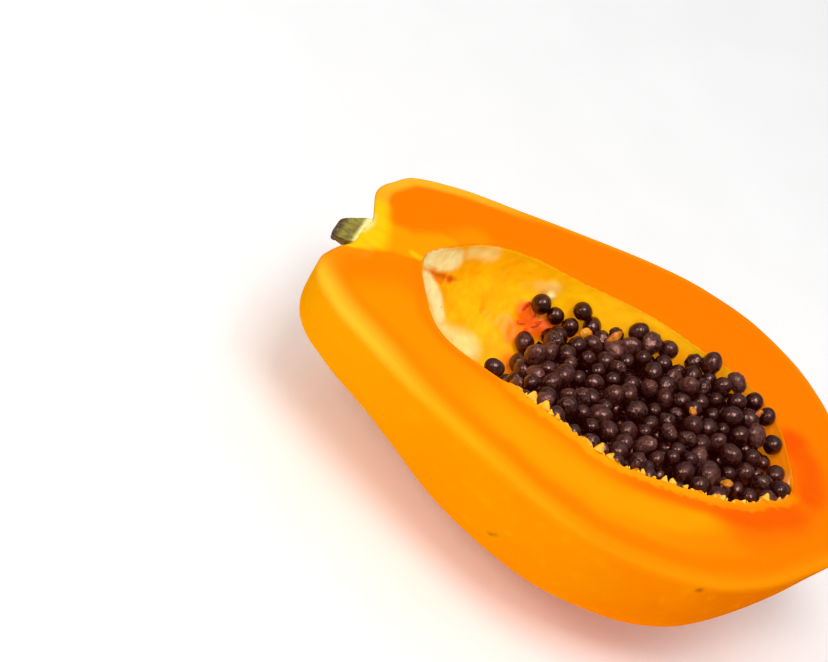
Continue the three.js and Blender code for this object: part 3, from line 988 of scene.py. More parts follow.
@dataclass
class Flesh:
    """The flesh with its skin, cut face and cavity, as one closed mesh.

    ragged is how far the tears of the wall stand out, and the ranges under it say where
    they are. coarse to warp are the sizes of the noise that makes the surface uneven.
    """

    form: FruitForm
    finish: FleshFinish = FleshFinish()
    stations: int = 300
    skin_steps: int = 96
    face_steps: int = 30
    wall_steps: int = 84
    round_steps: int = 6
    outline_steps: int = 500
    rim_round: float = 1.8
    edge_round: float = 0.8
    ragged: float = 2.0
    torn_x: Range = (-34, -24)
    torn_y: Range = (10, 0)
    torn_edge: Range = (-5.5, -1.5)
    torn_cream: float = 0.55
    coarse: float = 9
    fine: float = 2.2
    grit: float = 1.0
    tear: float = 2.6
    wave: float = 22
    warp: float = 5
    lip_drop: float = 0.35
    far_off: float = 30

    def _rounds(self, r: Array, size: float) -> Array:
        """Radius of a rounded edge at each station, which fades out at both ends."""
        return size * np.minimum(1, r / (4 * size))

    def _half(self, side: float, outer: Array, inner: Array) -> list[tuple[Array, Zone]]:
        """The steps over the cut face of one side, from the rim to the cavity.

        Args:
            side: 1 for the +Y side and -1 for the -Y side.
            outer: half outline of the fruit.
            inner: half outline of the cavity.

        Returns:
            Points by station and their zone, for each step.
        """
        form, across = self.form, np.array([1, side])
        rim = self._rounds(outer[:, 1], self.rim_round)
        edge = self._rounds(inner[:, 1], self.edge_round)
        outline, cavity = form.rim(outer, side), inner * across
        cavity[:, 1] += form.middle(inner[:, 0])
        to_axis, from_axis = across * outline_normals(outer), -across * outline_normals(inner)
        turns = np.linspace(0, math.pi / 2, self.round_steps + 1)
        steps = []

        def add(plan: Array, drop: Array, zone: Zone) -> None:
            """Adds points in plan that lie under the cut face's plane by drop."""
            steps.append((np.column_stack([plan, form.cut - drop]), zone))

        for turn in turns[1:]:
            plan = outline + to_axis * (rim * (1 - math.cos(turn)))[:, None]
            add(plan, rim * (1 - math.sin(turn)), Zone.FACE)
        start, end = outline + to_axis * rim[:, None], cavity + from_axis * edge[:, None]
        for share in np.linspace(0, 1, self.face_steps + 1)[1:]:
            add(start + (end - start) * share, 0 * rim, Zone.FACE)
        for turn in turns[1:-1]:
            plan = cavity + from_axis * (edge * (1 - math.sin(turn)))[:, None]
            add(plan, edge * (1 - math.cos(turn)), Zone.WALL)
        return steps

    @staticmethod
    def _sweep(rounding: Array, depth: Array, shares: Array) -> list[Array]:
        """Angles round a section at each share of it, clear of its rounded edges."""
        first = np.arcsin(np.clip(rounding / np.maximum(depth, TINY), 0, 0.3))
        return [first + (math.pi - 2 * first) * share for share in shares]

    def _columns(self) -> tuple[Array, Array]:
        """Sections of the flesh.

        Returns:
            Points by station and step, and the zone of each step.
        """
        form = self.form
        outer, inner = spline(form.body, self.stations), spline(form.cavity, self.stations)
        x, r = outer.T
        depth = (form.depth_ratio - form.depth_taper * x) * r
        skin = self._sweep(
            self._rounds(r, self.rim_round), depth, np.linspace(0, 1, self.skin_steps + 1)
        )
        steps = [(form.skin(x, r, angle), Zone.SKIN) for angle in skin]
        steps += self._half(-1, outer, inner)
        x, r = inner.T
        wall = self._sweep(
            self._rounds(r, self.edge_round), form.cavity_ratio * r,
            np.linspace(1, 0, self.wall_steps + 1),
        )
        steps += [(form.wall(x, r, angle), Zone.WALL) for angle in wall]
        steps += self._half(1, outer, inner)[::-1]
        points, zones = zip(*steps)
        return np.stack(points, axis=1), np.array(zones)

    def _push(self, points: Array, zone: Array) -> Array:
        """Unit directions out of the surface: up, out of the skin or into the cavity.

        Args:
            points: points of the flesh.
            zone: zone of each point.

        Returns:
            A direction for each point.
        """
        out = np.zeros_like(points)
        out[:, 2] = 1
        radial = points - np.array([0, 0, self.form.cut])
        radial[:, 0] = 0
        x = points[:, 0]
        radial[:, 1] -= np.where(zone == Zone.WALL, self.form.middle(x), self.form.axis(x))
        radial = unit(radial)
        out[zone == Zone.SKIN] = radial[zone == Zone.SKIN]
        out[zone == Zone.WALL] = -radial[zone == Zone.WALL]
        return out

    def _distances(self, points: Array, zone: Array) -> tuple[Array, Array]:
        """How far points are from the rim and from the edge of the cavity.

        Args:
            points: points of the flesh.
            zone: zone of each point.

        Returns:
            Distance inwards from the rim, below 0 on the skin, and outwards from the edge,
            below 0 on the wall. Each is far_off on the zone that doesn't read it.
        """
        form = self.form
        body, cavity = (spline(half, self.outline_steps) for half in (form.body, form.cavity))
        depth = form.cut - points[:, 2]
        flat_rim = nearest(points, np.concatenate([form.rim(body, 1), form.rim(body, -1)]))
        sides = np.concatenate([cavity * np.array([1, side]) for side in (1, -1)])
        sides[:, 1] += np.tile(form.middle(cavity[:, 0]), 2)
        flat_edge = nearest(points, sides)
        on_skin, on_wall = zone == Zone.SKIN, zone == Zone.WALL
        rim = np.where(on_skin, -np.hypot(depth, flat_rim), flat_rim - depth * (zone == Zone.FACE))
        edge = np.where(on_wall, -np.hypot(depth, flat_edge) * (depth > 0.3), flat_edge)
        return np.where(on_wall, self.far_off, rim), np.where(on_skin, self.far_off, edge)

    def _marks(self, points: Array, zone: Array) -> tuple[dict[str, Array], Array]:
        """The marks on the three zones.

        Args:
            points: points of the flesh.
            zone: zone of each point.

        Returns:
            The strengths by name of the tint, and the rise of each point.
        """
        place = points - np.array([0, 0, self.form.cut])
        warp = np.stack([noise_at(points, self.warp, 7.0 * k) for k in range(3)], axis=1)
        masks = {tint.value: np.zeros(len(points)) for tint in Tint}
        rise = np.zeros(len(points))
        for where, marks in MARKS.items():
            for mark in marks:
                ragged = mark.ragged * min(1.0, mark.outer / 3)
                gap = path_distance(place + ragged * warp, mark.path)
                shape = smooth(mark.outer, mark.inner, gap) * (zone == where)
                name = mark.tint.value
                masks[name] = np.maximum(masks[name], mark.strength * shape)
                rise += mark.relief * shape
        return masks, rise

    def _relief(self, points: Array, zone: Array, rim: Array, edge: Array) -> tuple[Array, Array]:
        """Lumps and tears of the wall, and waves of the face and the skin.

        Args:
            points: points of the flesh.
            zone: zone of each point.
            rim: distance from the rim.
            edge: distance from the cavity's edge.

        Returns:
            The rise of each point, and how torn the wall is there.
        """
        on_wall = zone == Zone.WALL
        x, y, z = points.T
        coarse, fine = noise_at(points, self.coarse, 3.0), noise_at(points, self.fine, 5.0)
        lumps = 0.45 * coarse + 0.3 * fine + 0.12 * noise_at(points, self.grit, 9.0)
        torn = smooth(0.0, 0.5, noise_at(points, self.tear, 13.0)) + 0.5 * smooth(0.1, 0.6, fine)
        torn *= smooth(*self.torn_x, x) * smooth(*self.torn_edge, edge) * (edge <= 0)
        torn *= smooth(*self.torn_y, y) * on_wall
        ripple = 0.10 * coarse + 0.035 * fine - self.lip_drop * smooth(4.0, 0.5, edge)
        waves = 0.12 * noise_at(points, self.wave, 1.0) * smooth(0.5, 6, z)
        rise = np.where(on_wall, lumps * smooth(0.2, 2.5, -edge), 0) + self.ragged * torn
        rise += np.where(zone == Zone.FACE, ripple * smooth(0.5, 2.0, rim), 0)
        return rise + np.where(zone == Zone.SKIN, waves, 0), torn

    def build(self) -> bpy.types.Object:
        """Makes the mesh, its relief and the numbers its finish reads.

        Returns:
            The flesh.
        """
        grid, zones = self._columns()
        points, faces, first = weld(grid)
        zone = np.tile(zones, len(grid))[first]
        rim, edge = self._distances(points, zone)
        masks, rise = self._marks(points, zone)
        relief, torn = self._relief(points, zone, rim, edge)
        cream = Tint.CREAM.value
        masks[cream] = np.maximum(masks[cream], self.torn_cream * torn)
        points = points + self._push(points, zone) * (rise + relief)[:, None]
        points[:, 2] = np.maximum(points[:, 2], 0)

        made = make_object("papaya_flesh", points, faces, self.finish.make())
        store(made, "rim_mm", rim)
        store(made, "edge_mm", edge)
        for name, values in masks.items():
            store(made, name, np.clip(values, 0, 1))
        return made


# ------------------------------------------------------------------------------- seeds


@dataclass(frozen=True)
class Swell:
    """A place where the heap is higher or, with a negative rise, lower."""

    x: float
    y: float
    reach: float
    rise: float


@dataclass(frozen=True)
class HeapForm:
    """Surface of the heap of seeds, through the middles of its top seeds.

    near and far are its depths at the -Y edge and at the +Y edge, where it gets deeper by
    fall from fall_end to foot. hollow is how much deeper its middle is, and past foot it
    drops by slope.
    """

    form: FruitForm
    width: float = 38
    near: float = 3.0
    far: float = 1.1
    fall: float = 12.2
    fall_end: float = 24
    hollow: float = 2.1
    foot: float = -24
    slope: float = 3.5
    swells: tuple[Swell, ...] = (
        Swell(3, 34, 8, 2.5), Swell(18, 34, 6, -3.5), Swell(8, -6, 12, -1.5),
        Swell(38, 31, 13, 1.6), Swell(56, 16, 10, 1.8),
    )

    def height(self, x: Array, y: Array) -> Array:
        """Height of the heap.

        Args:
            x: places along X.
            y: places along Y.

        Returns:
            The surface's height at each.
        """
        along = np.clip((self.fall_end - x) / (self.fall_end - self.foot), 0, 1)
        across = np.clip((y + self.width) / (2 * self.width), 0, 1)
        depth = self.near + (self.far + self.fall * along - self.near) * across
        depth = depth + self.hollow * 4 * across * (1 - across)
        for swell in self.swells:
            gap = ((x - swell.x) ** 2 + (y - swell.y) ** 2) / swell.reach**2
            depth = depth - swell.rise * np.exp(-gap)
        return self.form.cut - depth - self.slope * np.maximum(0, self.foot - x)


class SeedKind(IntEnum):
    """The kinds of seed in the heap."""

    PLUMP = 0
    WRINKLED = 1
    UNDER = 2


@dataclass(frozen=True)
class SeedLook:
    """Form and finish of one kind of seed or scrap.

    length and flatness are the most and the least that a seed measures for its width.
    unevenness and wrinkles are the heights of its lumps and creases in millimetres.
    """

    piece: str
    finish: SeedFinish | PlainFinish
    length: float
    flatness: float
    unevenness: float
    wrinkles: float
    level: int = 4
    draw: int = 1

    def material(self) -> bpy.types.Material:
        """The material of these seeds, which is made once."""
        return bpy.data.materials.get(self.finish.name) or self.finish.make()


LOOKS = {
    SeedKind.PLUMP: SeedLook("seeds_plump", SeedFinish("seed_plump"), 1.25, 0.95, 0.8, 0.3),
    SeedKind.WRINKLED: SeedLook(
        "seeds_wrinkled",
        SeedFinish("seed_wrinkled", light=srgb(70, 30, 22), dryness=0.26, roughness=0.2),
        1.4, 0.86, 1.7, 2.0, draw=2,
    ),
    # Painted shade: the lower seeds lack the pale dry film, so they are darker than the top ones
    SeedKind.UNDER: SeedLook(
        "seeds_under", SeedFinish("seed_under", light=srgb(44, 8, 5), dryness=0.0),
        1.15, 0.95, 0.4, 0.0, level=2, draw=3,
    ),
}


@dataclass
class NodeTree:
    """A Geometry Nodes tree in the making."""

    name: str
    tree: bpy.types.NodeTree = field(init=False)

    def __post_init__(self) -> None:
        """Starts the tree with its geometry input and output."""
        self.tree = bpy.data.node_groups.new(self.name, "GeometryNodeTree")
        sockets = self.tree.interface
        sockets.new_socket("Geometry", in_out="OUTPUT", socket_type="NodeSocketGeometry")
        sockets.new_socket("Geometry", in_out="INPUT", socket_type="NodeSocketGeometry")
        self.source = self.tree.nodes.new("NodeGroupInput")
        self.sink = self.tree.nodes.new("NodeGroupOutput")
        self.inputs: dict[str, str] = {}

    def size(self, name: str, kind: str = "Float") -> None:
        """Adds a named input, whose value the modifier sets."""
        kinds = {"in_out": "INPUT", "socket_type": f"NodeSocket{kind}"}
        self.inputs[name] = self.tree.interface.new_socket(name, **kinds).identifier

    def given(self, name: str) -> bpy.types.NodeSocket:
        """The socket of a named input."""
        return self.source.outputs[name]

    def add(self, kind: str, settings: dict | None = None, **inputs: object) -> bpy.types.Node:
        """Adds a node.

        Args:
            kind: the node's type.
            settings: its properties, which are set first.
            inputs: values or links of its sockets, by name with _ for a space, or by the
                letter n and their index.

        Returns:
            The node.
        """
        node = self.tree.nodes.new(kind)
        for key, value in (settings or {}).items():
            setattr(node, key, value)
        for key, value in inputs.items():
            numbered = key[0] == "n" and key[1:].isdigit()
            socket = node.inputs[int(key[1:]) if numbered else key.replace("_", " ")]
            if isinstance(value, bpy.types.NodeSocket):
                self.tree.links.new(value, socket)
            else:
                socket.default_value = value
        return node

    def maths(self, operation: str, *inputs: object) -> bpy.types.NodeSocket:
        """The result of a Math node."""
        numbered = {f"n{i}": value for i, value in enumerate(inputs)}
        return self.add("ShaderNodeMath", {"operation": operation}, **numbered).outputs[0]

    def scaled(self, vector: object, size: object) -> bpy.types.NodeSocket:
        """A vector times a number, either of them plain or a link."""
        settings = {"operation": "SCALE"}
        return self.add("ShaderNodeVectorMath", settings, n0=vector, Scale=size).outputs[0]

    def stored(self, name: str, kind: str = "FLOAT") -> bpy.types.NodeSocket:
        """A number or vector that is stored on the geometry."""
        settings = {"data_type": kind}
        return self.add("GeometryNodeInputNamedAttribute", settings, Name=name).outputs[0]

    def random(self, kind: str, **inputs: object) -> bpy.types.Node:
        """A Random Value node of that kind, with the tree's own draw."""
        seed = self.given("Draw")
        return self.add("FunctionNodeRandomValue", {"data_type": kind}, Seed=seed, **inputs)

    def finish(self, geometry: bpy.types.NodeSocket, material: bpy.types.Material) -> None:
        """Realizes the instances, sets the material and ends the tree.

        Args:
            geometry: what the tree has made.
            material: its finish.
        """
        real = self.add("GeometryNodeRealizeInstances", Geometry=geometry)
        smooth_node = self.add("GeometryNodeSetShadeSmooth", Geometry=real.outputs[0])
        even = smooth_node.outputs[0]
        dressed = self.add("GeometryNodeSetMaterial", Geometry=even, Material=material)
        self.tree.links.new(dressed.outputs[0], self.sink.inputs[0])

    def apply(self, made: bpy.types.Object, **values: float) -> bpy.types.Object:
        """Runs the tree on an object and keeps the result as a plain mesh.

        Args:
            made: the object.
            values: values of the tree's named inputs.

        Returns:
            The same object.
        """
        modifier = made.modifiers.new(self.name, "NODES")
        modifier.node_group = self.tree
        for name, value in values.items():
            modifier[self.inputs[name]] = value
        ready = made.evaluated_get(bpy.context.evaluated_depsgraph_get())
        mesh = bpy.data.meshes.new_from_object(ready)
        made.modifiers.remove(modifier)
        made.data = mesh
        return made


@dataclass(frozen=True)
class Placed:
    """A seed or a scrap that is placed one by one: place along X and Y, depth and radius."""

    x: float
    y: float
    depth: float
    radius: float
    wrinkled: bool = False


# Seeds that give the heap its outline
OUTLINE_SEEDS = (
    Placed(-30.5, 29, 11, 3.4), Placed(-24.5, 29.5, 12.5, 3), Placed(-17.5, 32.5, 7.5, 3.3),
    Placed(-18.5, 27.5, 12, 3.1), Placed(-12, 31.5, 10.5, 3.4), Placed(-28.5, 19.5, 21, 3.3),
    Placed(-27, 12.5, 24, 3.2), Placed(-25, 3, 18, 3), Placed(-24, -17, 10, 2.5, True),
    Placed(2, 35, 4.5, 3.2), Placed(6.5, 33, 4, 3.7, True), Placed(13, 35.5, 5, 3.3),
    Placed(27.5, 36.5, 0.5, 3.5), Placed(37, 33.5, 0.5, 3.2, True), Placed(45, 31, 1.5, 3.2),
    Placed(50.5, 26.5, 0.5, 3), Placed(56, 18, 2.5, 3.3), Placed(60.5, 7, 3.5, 3),
    Placed(57.5, -0.5, 4, 3.6, True), Placed(41, -9, 4.5, 4.2, True),
)

# Scraps of pulp: some lie between the seeds, the red ones on the wall where the heap starts
PULP = SeedLook(
    "pulp_bits", PlainFinish("pulp", srgb(244, 160, 24), srgb(196, 90, 18), 3, 0.35),
    1.9, 0.6, 1.6, 1.5, draw=4,
)
RED_PULP = SeedLook(
    "red_pulp",
    # Painted light: the red scraps glow a little, which lifts their shade
    PlainFinish("red_pulp", srgb(244, 104, 22), srgb(226, 58, 14), 2.4, 0.35, glow=0.15),
    2.2, 0.5, 2.0, 1.8, draw=6,
)
PULP_BITS = (
    Placed(-4.5, 27.5, 6, 2), Placed(27.5, 9.5, 0.8, 1.4), Placed(47, 22.5, -0.8, 1.5),
    Placed(-13, 25, 9, 2.2), Placed(46.5, -12, 1.5, 2),
)
RED_BITS = (
    Placed(-34, 28.5, 15.5, 1.7), Placed(-31, 28.5, 17.5, 2.1), Placed(-33, 25.5, 19, 1.6),
    Placed(-27.5, 28, 18, 1.9), Placed(-30, 24, 21, 1.9), Placed(-25, 30, 16, 1.5),
)


@dataclass
class SeedHeap:
    """The seeds: some give the heap its outline, the others lie in layers between them.

    spread is how much their radii differ. columns, rows and spacing lay a layer, and
    layer_step and closest are shares of spacing. wall_gap and foot_gap are the least room
    at the wall, the second for the top layer up to foot_until. Seeds may come as near as
    overlap, a share of their radii. firmness, the pushes, top_yield, along and ease are
    shares of the moves in a round. Those of the lower layers stay under the surface by
    sink, a share of the radius, lie past the foot by foot_room at most, and are left out
    where the wall leaves them less than least_room, a share of their own radius.
    """

    form: FruitForm
    heap: HeapForm
    spread: float = 0.2
    radius: float = 3.05
    draw: int = 11
    layers: int = 4
    columns: int = 24
    rows: int = 13
    tip_end: float = 62
    spacing: float = 6.35
    layer_step: float = 0.78
    closest: float = 0.72
    jitter: float = 1.5
    deeper: float = 1.7
    higher: float = 1.0
    clear: float = 5.0
    wall_gap: float = 1.4
    foot_gap: float = 2.4
    foot_until: float = 20
    wrinkled: float = 0.34
    rounds: int = 60
    firmness: float = 0.12
    overlap: float = 0.95
    top_push: float = 0.2
    under_push: float = 0.45
    top_yield: float = 0.6
    along: float = 0.3
    ease: float = 0.5
    sink: float = 0.3
    foot_room: float = 3
    least_room: float = 0.6
    far_off: float = 1e3
    lump_size: float = 4.2
    wrinkle_size: float = 1.6
    noise_detail: float = 1.5
    tone_step: float = 60.0
    crease_level: float = 0.1
    full_turn: float = 6.28
    stray_radii: tuple = (("stray_seed_side", 3.1), ("stray_seed_tip", 2.7))

    def _places(self, chosen: Sequence[Placed]) -> Array:
        """Middles of placed seeds or scraps in the frame."""
        return np.array([(p.x, p.y, self.form.cut - p.depth) for p in chosen])

    def _grid_place(self, layer: int, column: int, row: int) -> tuple[float, float]:
        """Where a seed of a layer lies in plan before it is shifted at random.

        Columns that would lie beyond the heap's foot are drawn together by its slope.

        Args:
            layer: layer, counted from the top.
            column: column, counted from the tip end.
            row: row, counted from the +Y side.

        Returns:
            The place along X and along Y.
        """
        pitch = self.spacing * math.sin(math.pi / 3)
        flat = self.tip_end - pitch * (column + layer / 3)
        beyond = max(0.0, self.heap.foot - flat)
        x = flat + beyond - beyond / math.hypot(1, self.heap.slope)
        return x, self.heap.width - self.spacing * (row + (column + layer) % 2 / 2)

    def _filling(self, random: np.random.Generator, placed: Array) -> tuple[Array, Array]:
        """Places of the seeds that lie in layers, clear of the placed ones.

        Args:
            random: the source of random draws.
            placed: middles of the placed seeds.

        Returns:
            The places, and the layer of each, 0 for the one on top.
        """
        places, layers = [], []
        for layer, column, row in np.ndindex(self.layers, self.columns, self.rows):
            start = np.array(self._grid_place(layer, column, row))
            x, y = start + random.uniform(-self.jitter, self.jitter, 2)
            z = self.heap.height(x, y) + random.uniform(-self.deeper, self.higher)
            places.append((x, y, z - layer * self.layer_step * self.spacing))
            layers.append(layer)
        points, layer = np.array(places), np.array(layers)
        near_wall = (layer > 0) | (points[:, 0] > self.foot_until)
        kept = self._room(points) > np.where(near_wall, self.wall_gap, self.foot_gap)
        kept &= np.linalg.norm(points[:, None] - placed[None], axis=2).min(axis=1) > self.clear
        points, layer = points[kept], layer[kept]
        gap = np.linalg.norm(points[:, None] - points[None], axis=2)
        apart = ~np.tril(gap < self.closest * self.spacing, -1).any(axis=1)
        return points[apart], layer[apart]

    def _room(self, points: Array) -> Array:
        """Rough distance in section from seeds to the cavity wall.

        Args:
            points: middles of the seeds.

        Returns:
            A distance for each seed.
        """
        depth = np.maximum(0, self.form.cut - points[:, 2]) / self.form.cavity_ratio
        reach = np.hypot(points[:, 1] - self.form.middle(points[:, 0]), depth)
        return self.form.cavity_radius(points[:, 0]) - reach

    def _apart(self, points: Array, radii: Array) -> Array:
        """Moves that push seeds apart where they press into each other too far.

        Args:
            points: middles of the seeds.
            radii: their radii.

        Returns:
            A move for each seed.
        """
        step = points[:, None] - points[None]
        itself = np.eye(len(points)) * self.far_off
        gap = np.linalg.norm(step, axis=2) + itself
        near = np.maximum(0, self.overlap * (radii[:, None] + radii[None]) - gap)
        return (step / gap[..., None] * near[..., None]).sum(axis=1)

    def _inwards(self, points: Array, radii: Array) -> Array:
        """Moves that push seeds off the cavity wall, and a little to its middle along X.

        Args:
            points: middles of the seeds.
            radii: their radii.

        Returns:
            A move for each seed.
        """
        short = np.maximum(0, radii * self.overlap - self._room(points))
        across = self.form.middle(points[:, 0]) - points[:, 1]
        inward = np.stack([0 * short, across, self.form.cut - points[:, 2]], axis=1)
        inward[:, 0] = -self.along * np.sign(points[:, 0]) * np.linalg.norm(inward[:, 1:], axis=1)
        return unit(inward) * short[:, None]

    def _settle(self, home: Array, radii: Array, under: Array) -> Array:
        """Lets the seeds find their places in some rounds of small moves.

        Args:
            home: where the seeds were laid.
            radii: their radii.
            under: which seeds lie under the top ones.

        Returns:
            Where they end up.
        """
        # The listed seeds are held twice as firmly
        held = np.where(under, 0, self.firmness)[:, None]
        held[: len(OUTLINE_SEEDS)] *= 2
        loose = np.where(under, self.under_push, self.top_push)[:, None]
        yielding = np.where(under, 1, self.top_yield)[:, None]
        points = home.copy()
        for _ in range(self.rounds):
            points = points + loose * self._apart(points, radii)
            points += held * (home - points)
            points = points + self._inwards(points, radii) * yielding
            x, y, z = points.T
            over = z - self.heap.height(x, y) + self.sink * self.radius
            z -= self.ease * np.maximum(0, over) * under
            x += self.ease * np.maximum(0, self.heap.foot - self.foot_room - x) * under
        return points

    def pack(self) -> tuple[Array, Array, Array]:
        """Lays all the seeds of the heap.

        Returns:
            Middles, radii and kinds of the seeds.
        """
        random = np.random.default_rng(self.draw)
        placed = self._places(OUTLINE_SEEDS)
        filling, layer = self._filling(random, placed)
        wrinkled = random.uniform(0, 1, len(filling)) < self.wrinkled
        drawn = np.where(layer > 0, SeedKind.UNDER, wrinkled)
        kind = np.concatenate([[int(p.wrinkled) for p in OUTLINE_SEEDS], drawn])
        sizes = self.radius * (1 + random.uniform(-self.spread, self.spread, len(filling)))
        radii = np.concatenate([[p.radius for p in OUTLINE_SEEDS], sizes])
        under = kind == SeedKind.UNDER
        points = self._settle(np.concatenate([placed, filling]), radii, under)
        good = (self._room(points) > radii * self.least_room) | ~under
        return points[good], radii[good], kind[good]

    def _own_noise(self, tree: NodeTree, size: float) -> bpy.types.NodeSocket:
        """Noise about 0 that differs from seed to seed, by the tone of each.

        Args:
            tree: the tree of the seeds.
            size: size of its features in millimetres.

        Returns:
            The noise.
        """
        where = tree.add("GeometryNodeInputPosition").outputs[0]
        own = tree.maths("MULTIPLY", tree.stored("tone"), self.tone_step)
        waves = tree.add(
            "ShaderNodeTexNoise", {"noise_dimensions": "4D"}, Vector=where, W=own,
            Scale=1 / (size * MM), Detail=self.noise_detail,
        )
        return tree.maths("SUBTRACT", waves.outputs[0], 0.5)

    def _tree(self, look: SeedLook) -> NodeTree:
        """The tree that puts a seed of one look on each point.

        Args:
            look: form and finish of the seeds.

        Returns:
            The tree.
        """
        tree = NodeTree(look.piece)
        for name in ("Length", "Flatness", "Unevenness", "Wrinkles"):
            tree.size(name)
        tree.size("Draw", "Int")
        ball = tree.add("GeometryNodeMeshIcoSphere", Radius=1.0, Subdivisions=look.level)
        stretch = tree.random("FLOAT", n2=1.0, n3=tree.given("Length")).outputs[1]
        full = (self.full_turn,) * 3
        turn = tree.random("FLOAT_VECTOR", n0=(0.0, 0.0, 0.0), n1=full).outputs[0]
        shape = tree.add("ShaderNodeCombineXYZ", X=stretch, Y=1.0, Z=tree.given("Flatness"))
        placed = tree.add(
            "GeometryNodeInstanceOnPoints", Points=tree.given("Geometry"),
            Instance=ball.outputs[0], Rotation=turn,
            Scale=tree.scaled(shape.outputs[0], tree.stored("radius")),
        )
        toned = tree.add(
            "GeometryNodeStoreNamedAttribute", {"data_type": "FLOAT", "domain": "INSTANCE"},
            Geometry=placed.outputs[0], Name="tone", Value=tree.random("FLOAT").outputs[1],
        )
        real = tree.add("GeometryNodeRealizeInstances", Geometry=toned.outputs[0])
        lumps = self._own_noise(tree, self.lump_size)
        lumps = tree.maths("MULTIPLY", lumps, tree.given("Unevenness"))
        creases = tree.maths("ABSOLUTE", self._own_noise(tree, self.wrinkle_size))
        creases = tree.maths("SUBTRACT", creases, self.crease_level)
        creases = tree.maths("MULTIPLY", creases, tree.given("Wrinkles"))
        normal = tree.add("GeometryNodeInputNormal").outputs[0]
        offset = tree.scaled(normal, tree.maths("ADD", lumps, creases))
        uneven = tree.add("GeometryNodeSetPosition", Geometry=real.outputs[0], Offset=offset)
        tree.finish(uneven.outputs[0], look.material())
        return tree

    def build(self) -> list[bpy.types.Object]:
        """Makes one piece for each kind of seed and scrap, then one for each lone seed.

        Returns:
            The pieces.
        """
        points, radii, kinds = self.pack()
        made, trees = [], {kind: self._tree(look) for kind, look in LOOKS.items()}
        for kind, look in LOOKS.items():
            chosen = kinds == kind
            made.append(self._scatter(look, trees[kind], points[chosen], radii[chosen]))
            LOG.info("%s: %d seeds", made[-1].name, chosen.sum())
        for look, bits in ((PULP, PULP_BITS), (RED_PULP, RED_BITS)):
            sizes = np.array([p.radius for p in bits])
            made.append(self._scatter(look, self._tree(look), self._places(bits), sizes))
        for name, radius in self.stray_radii:
            middle = sum(millimetres(name), Vector()) / 2
            look = replace(
                LOOKS[SeedKind.PLUMP], piece=name.replace("stray", "lone"), draw=int(10 * radius)
            )
            tree = trees[SeedKind.PLUMP]
            made.append(self._scatter(look, tree, np.array([middle]), np.array([radius])))
        return made

    def _scatter(
        self, look: SeedLook, tree: NodeTree, points: Array, radii: Array
    ) -> bpy.types.Object:
        """Makes a piece with a seed of one look on each point.

        Args:
            look: form and finish of the seeds.
            tree: the tree for that look.
            points: middles of the seeds.
            radii: their radii.

        Returns:
            The piece.
        """
        seeds = make_object(look.piece, points, [], look.material())
        store(seeds, "radius", radii * MM)
        return tree.apply(
            seeds, Draw=look.draw, Length=look.length, Flatness=look.flatness,
            Unevenness=look.unevenness * MM, Wrinkles=look.wrinkles * MM,
        )


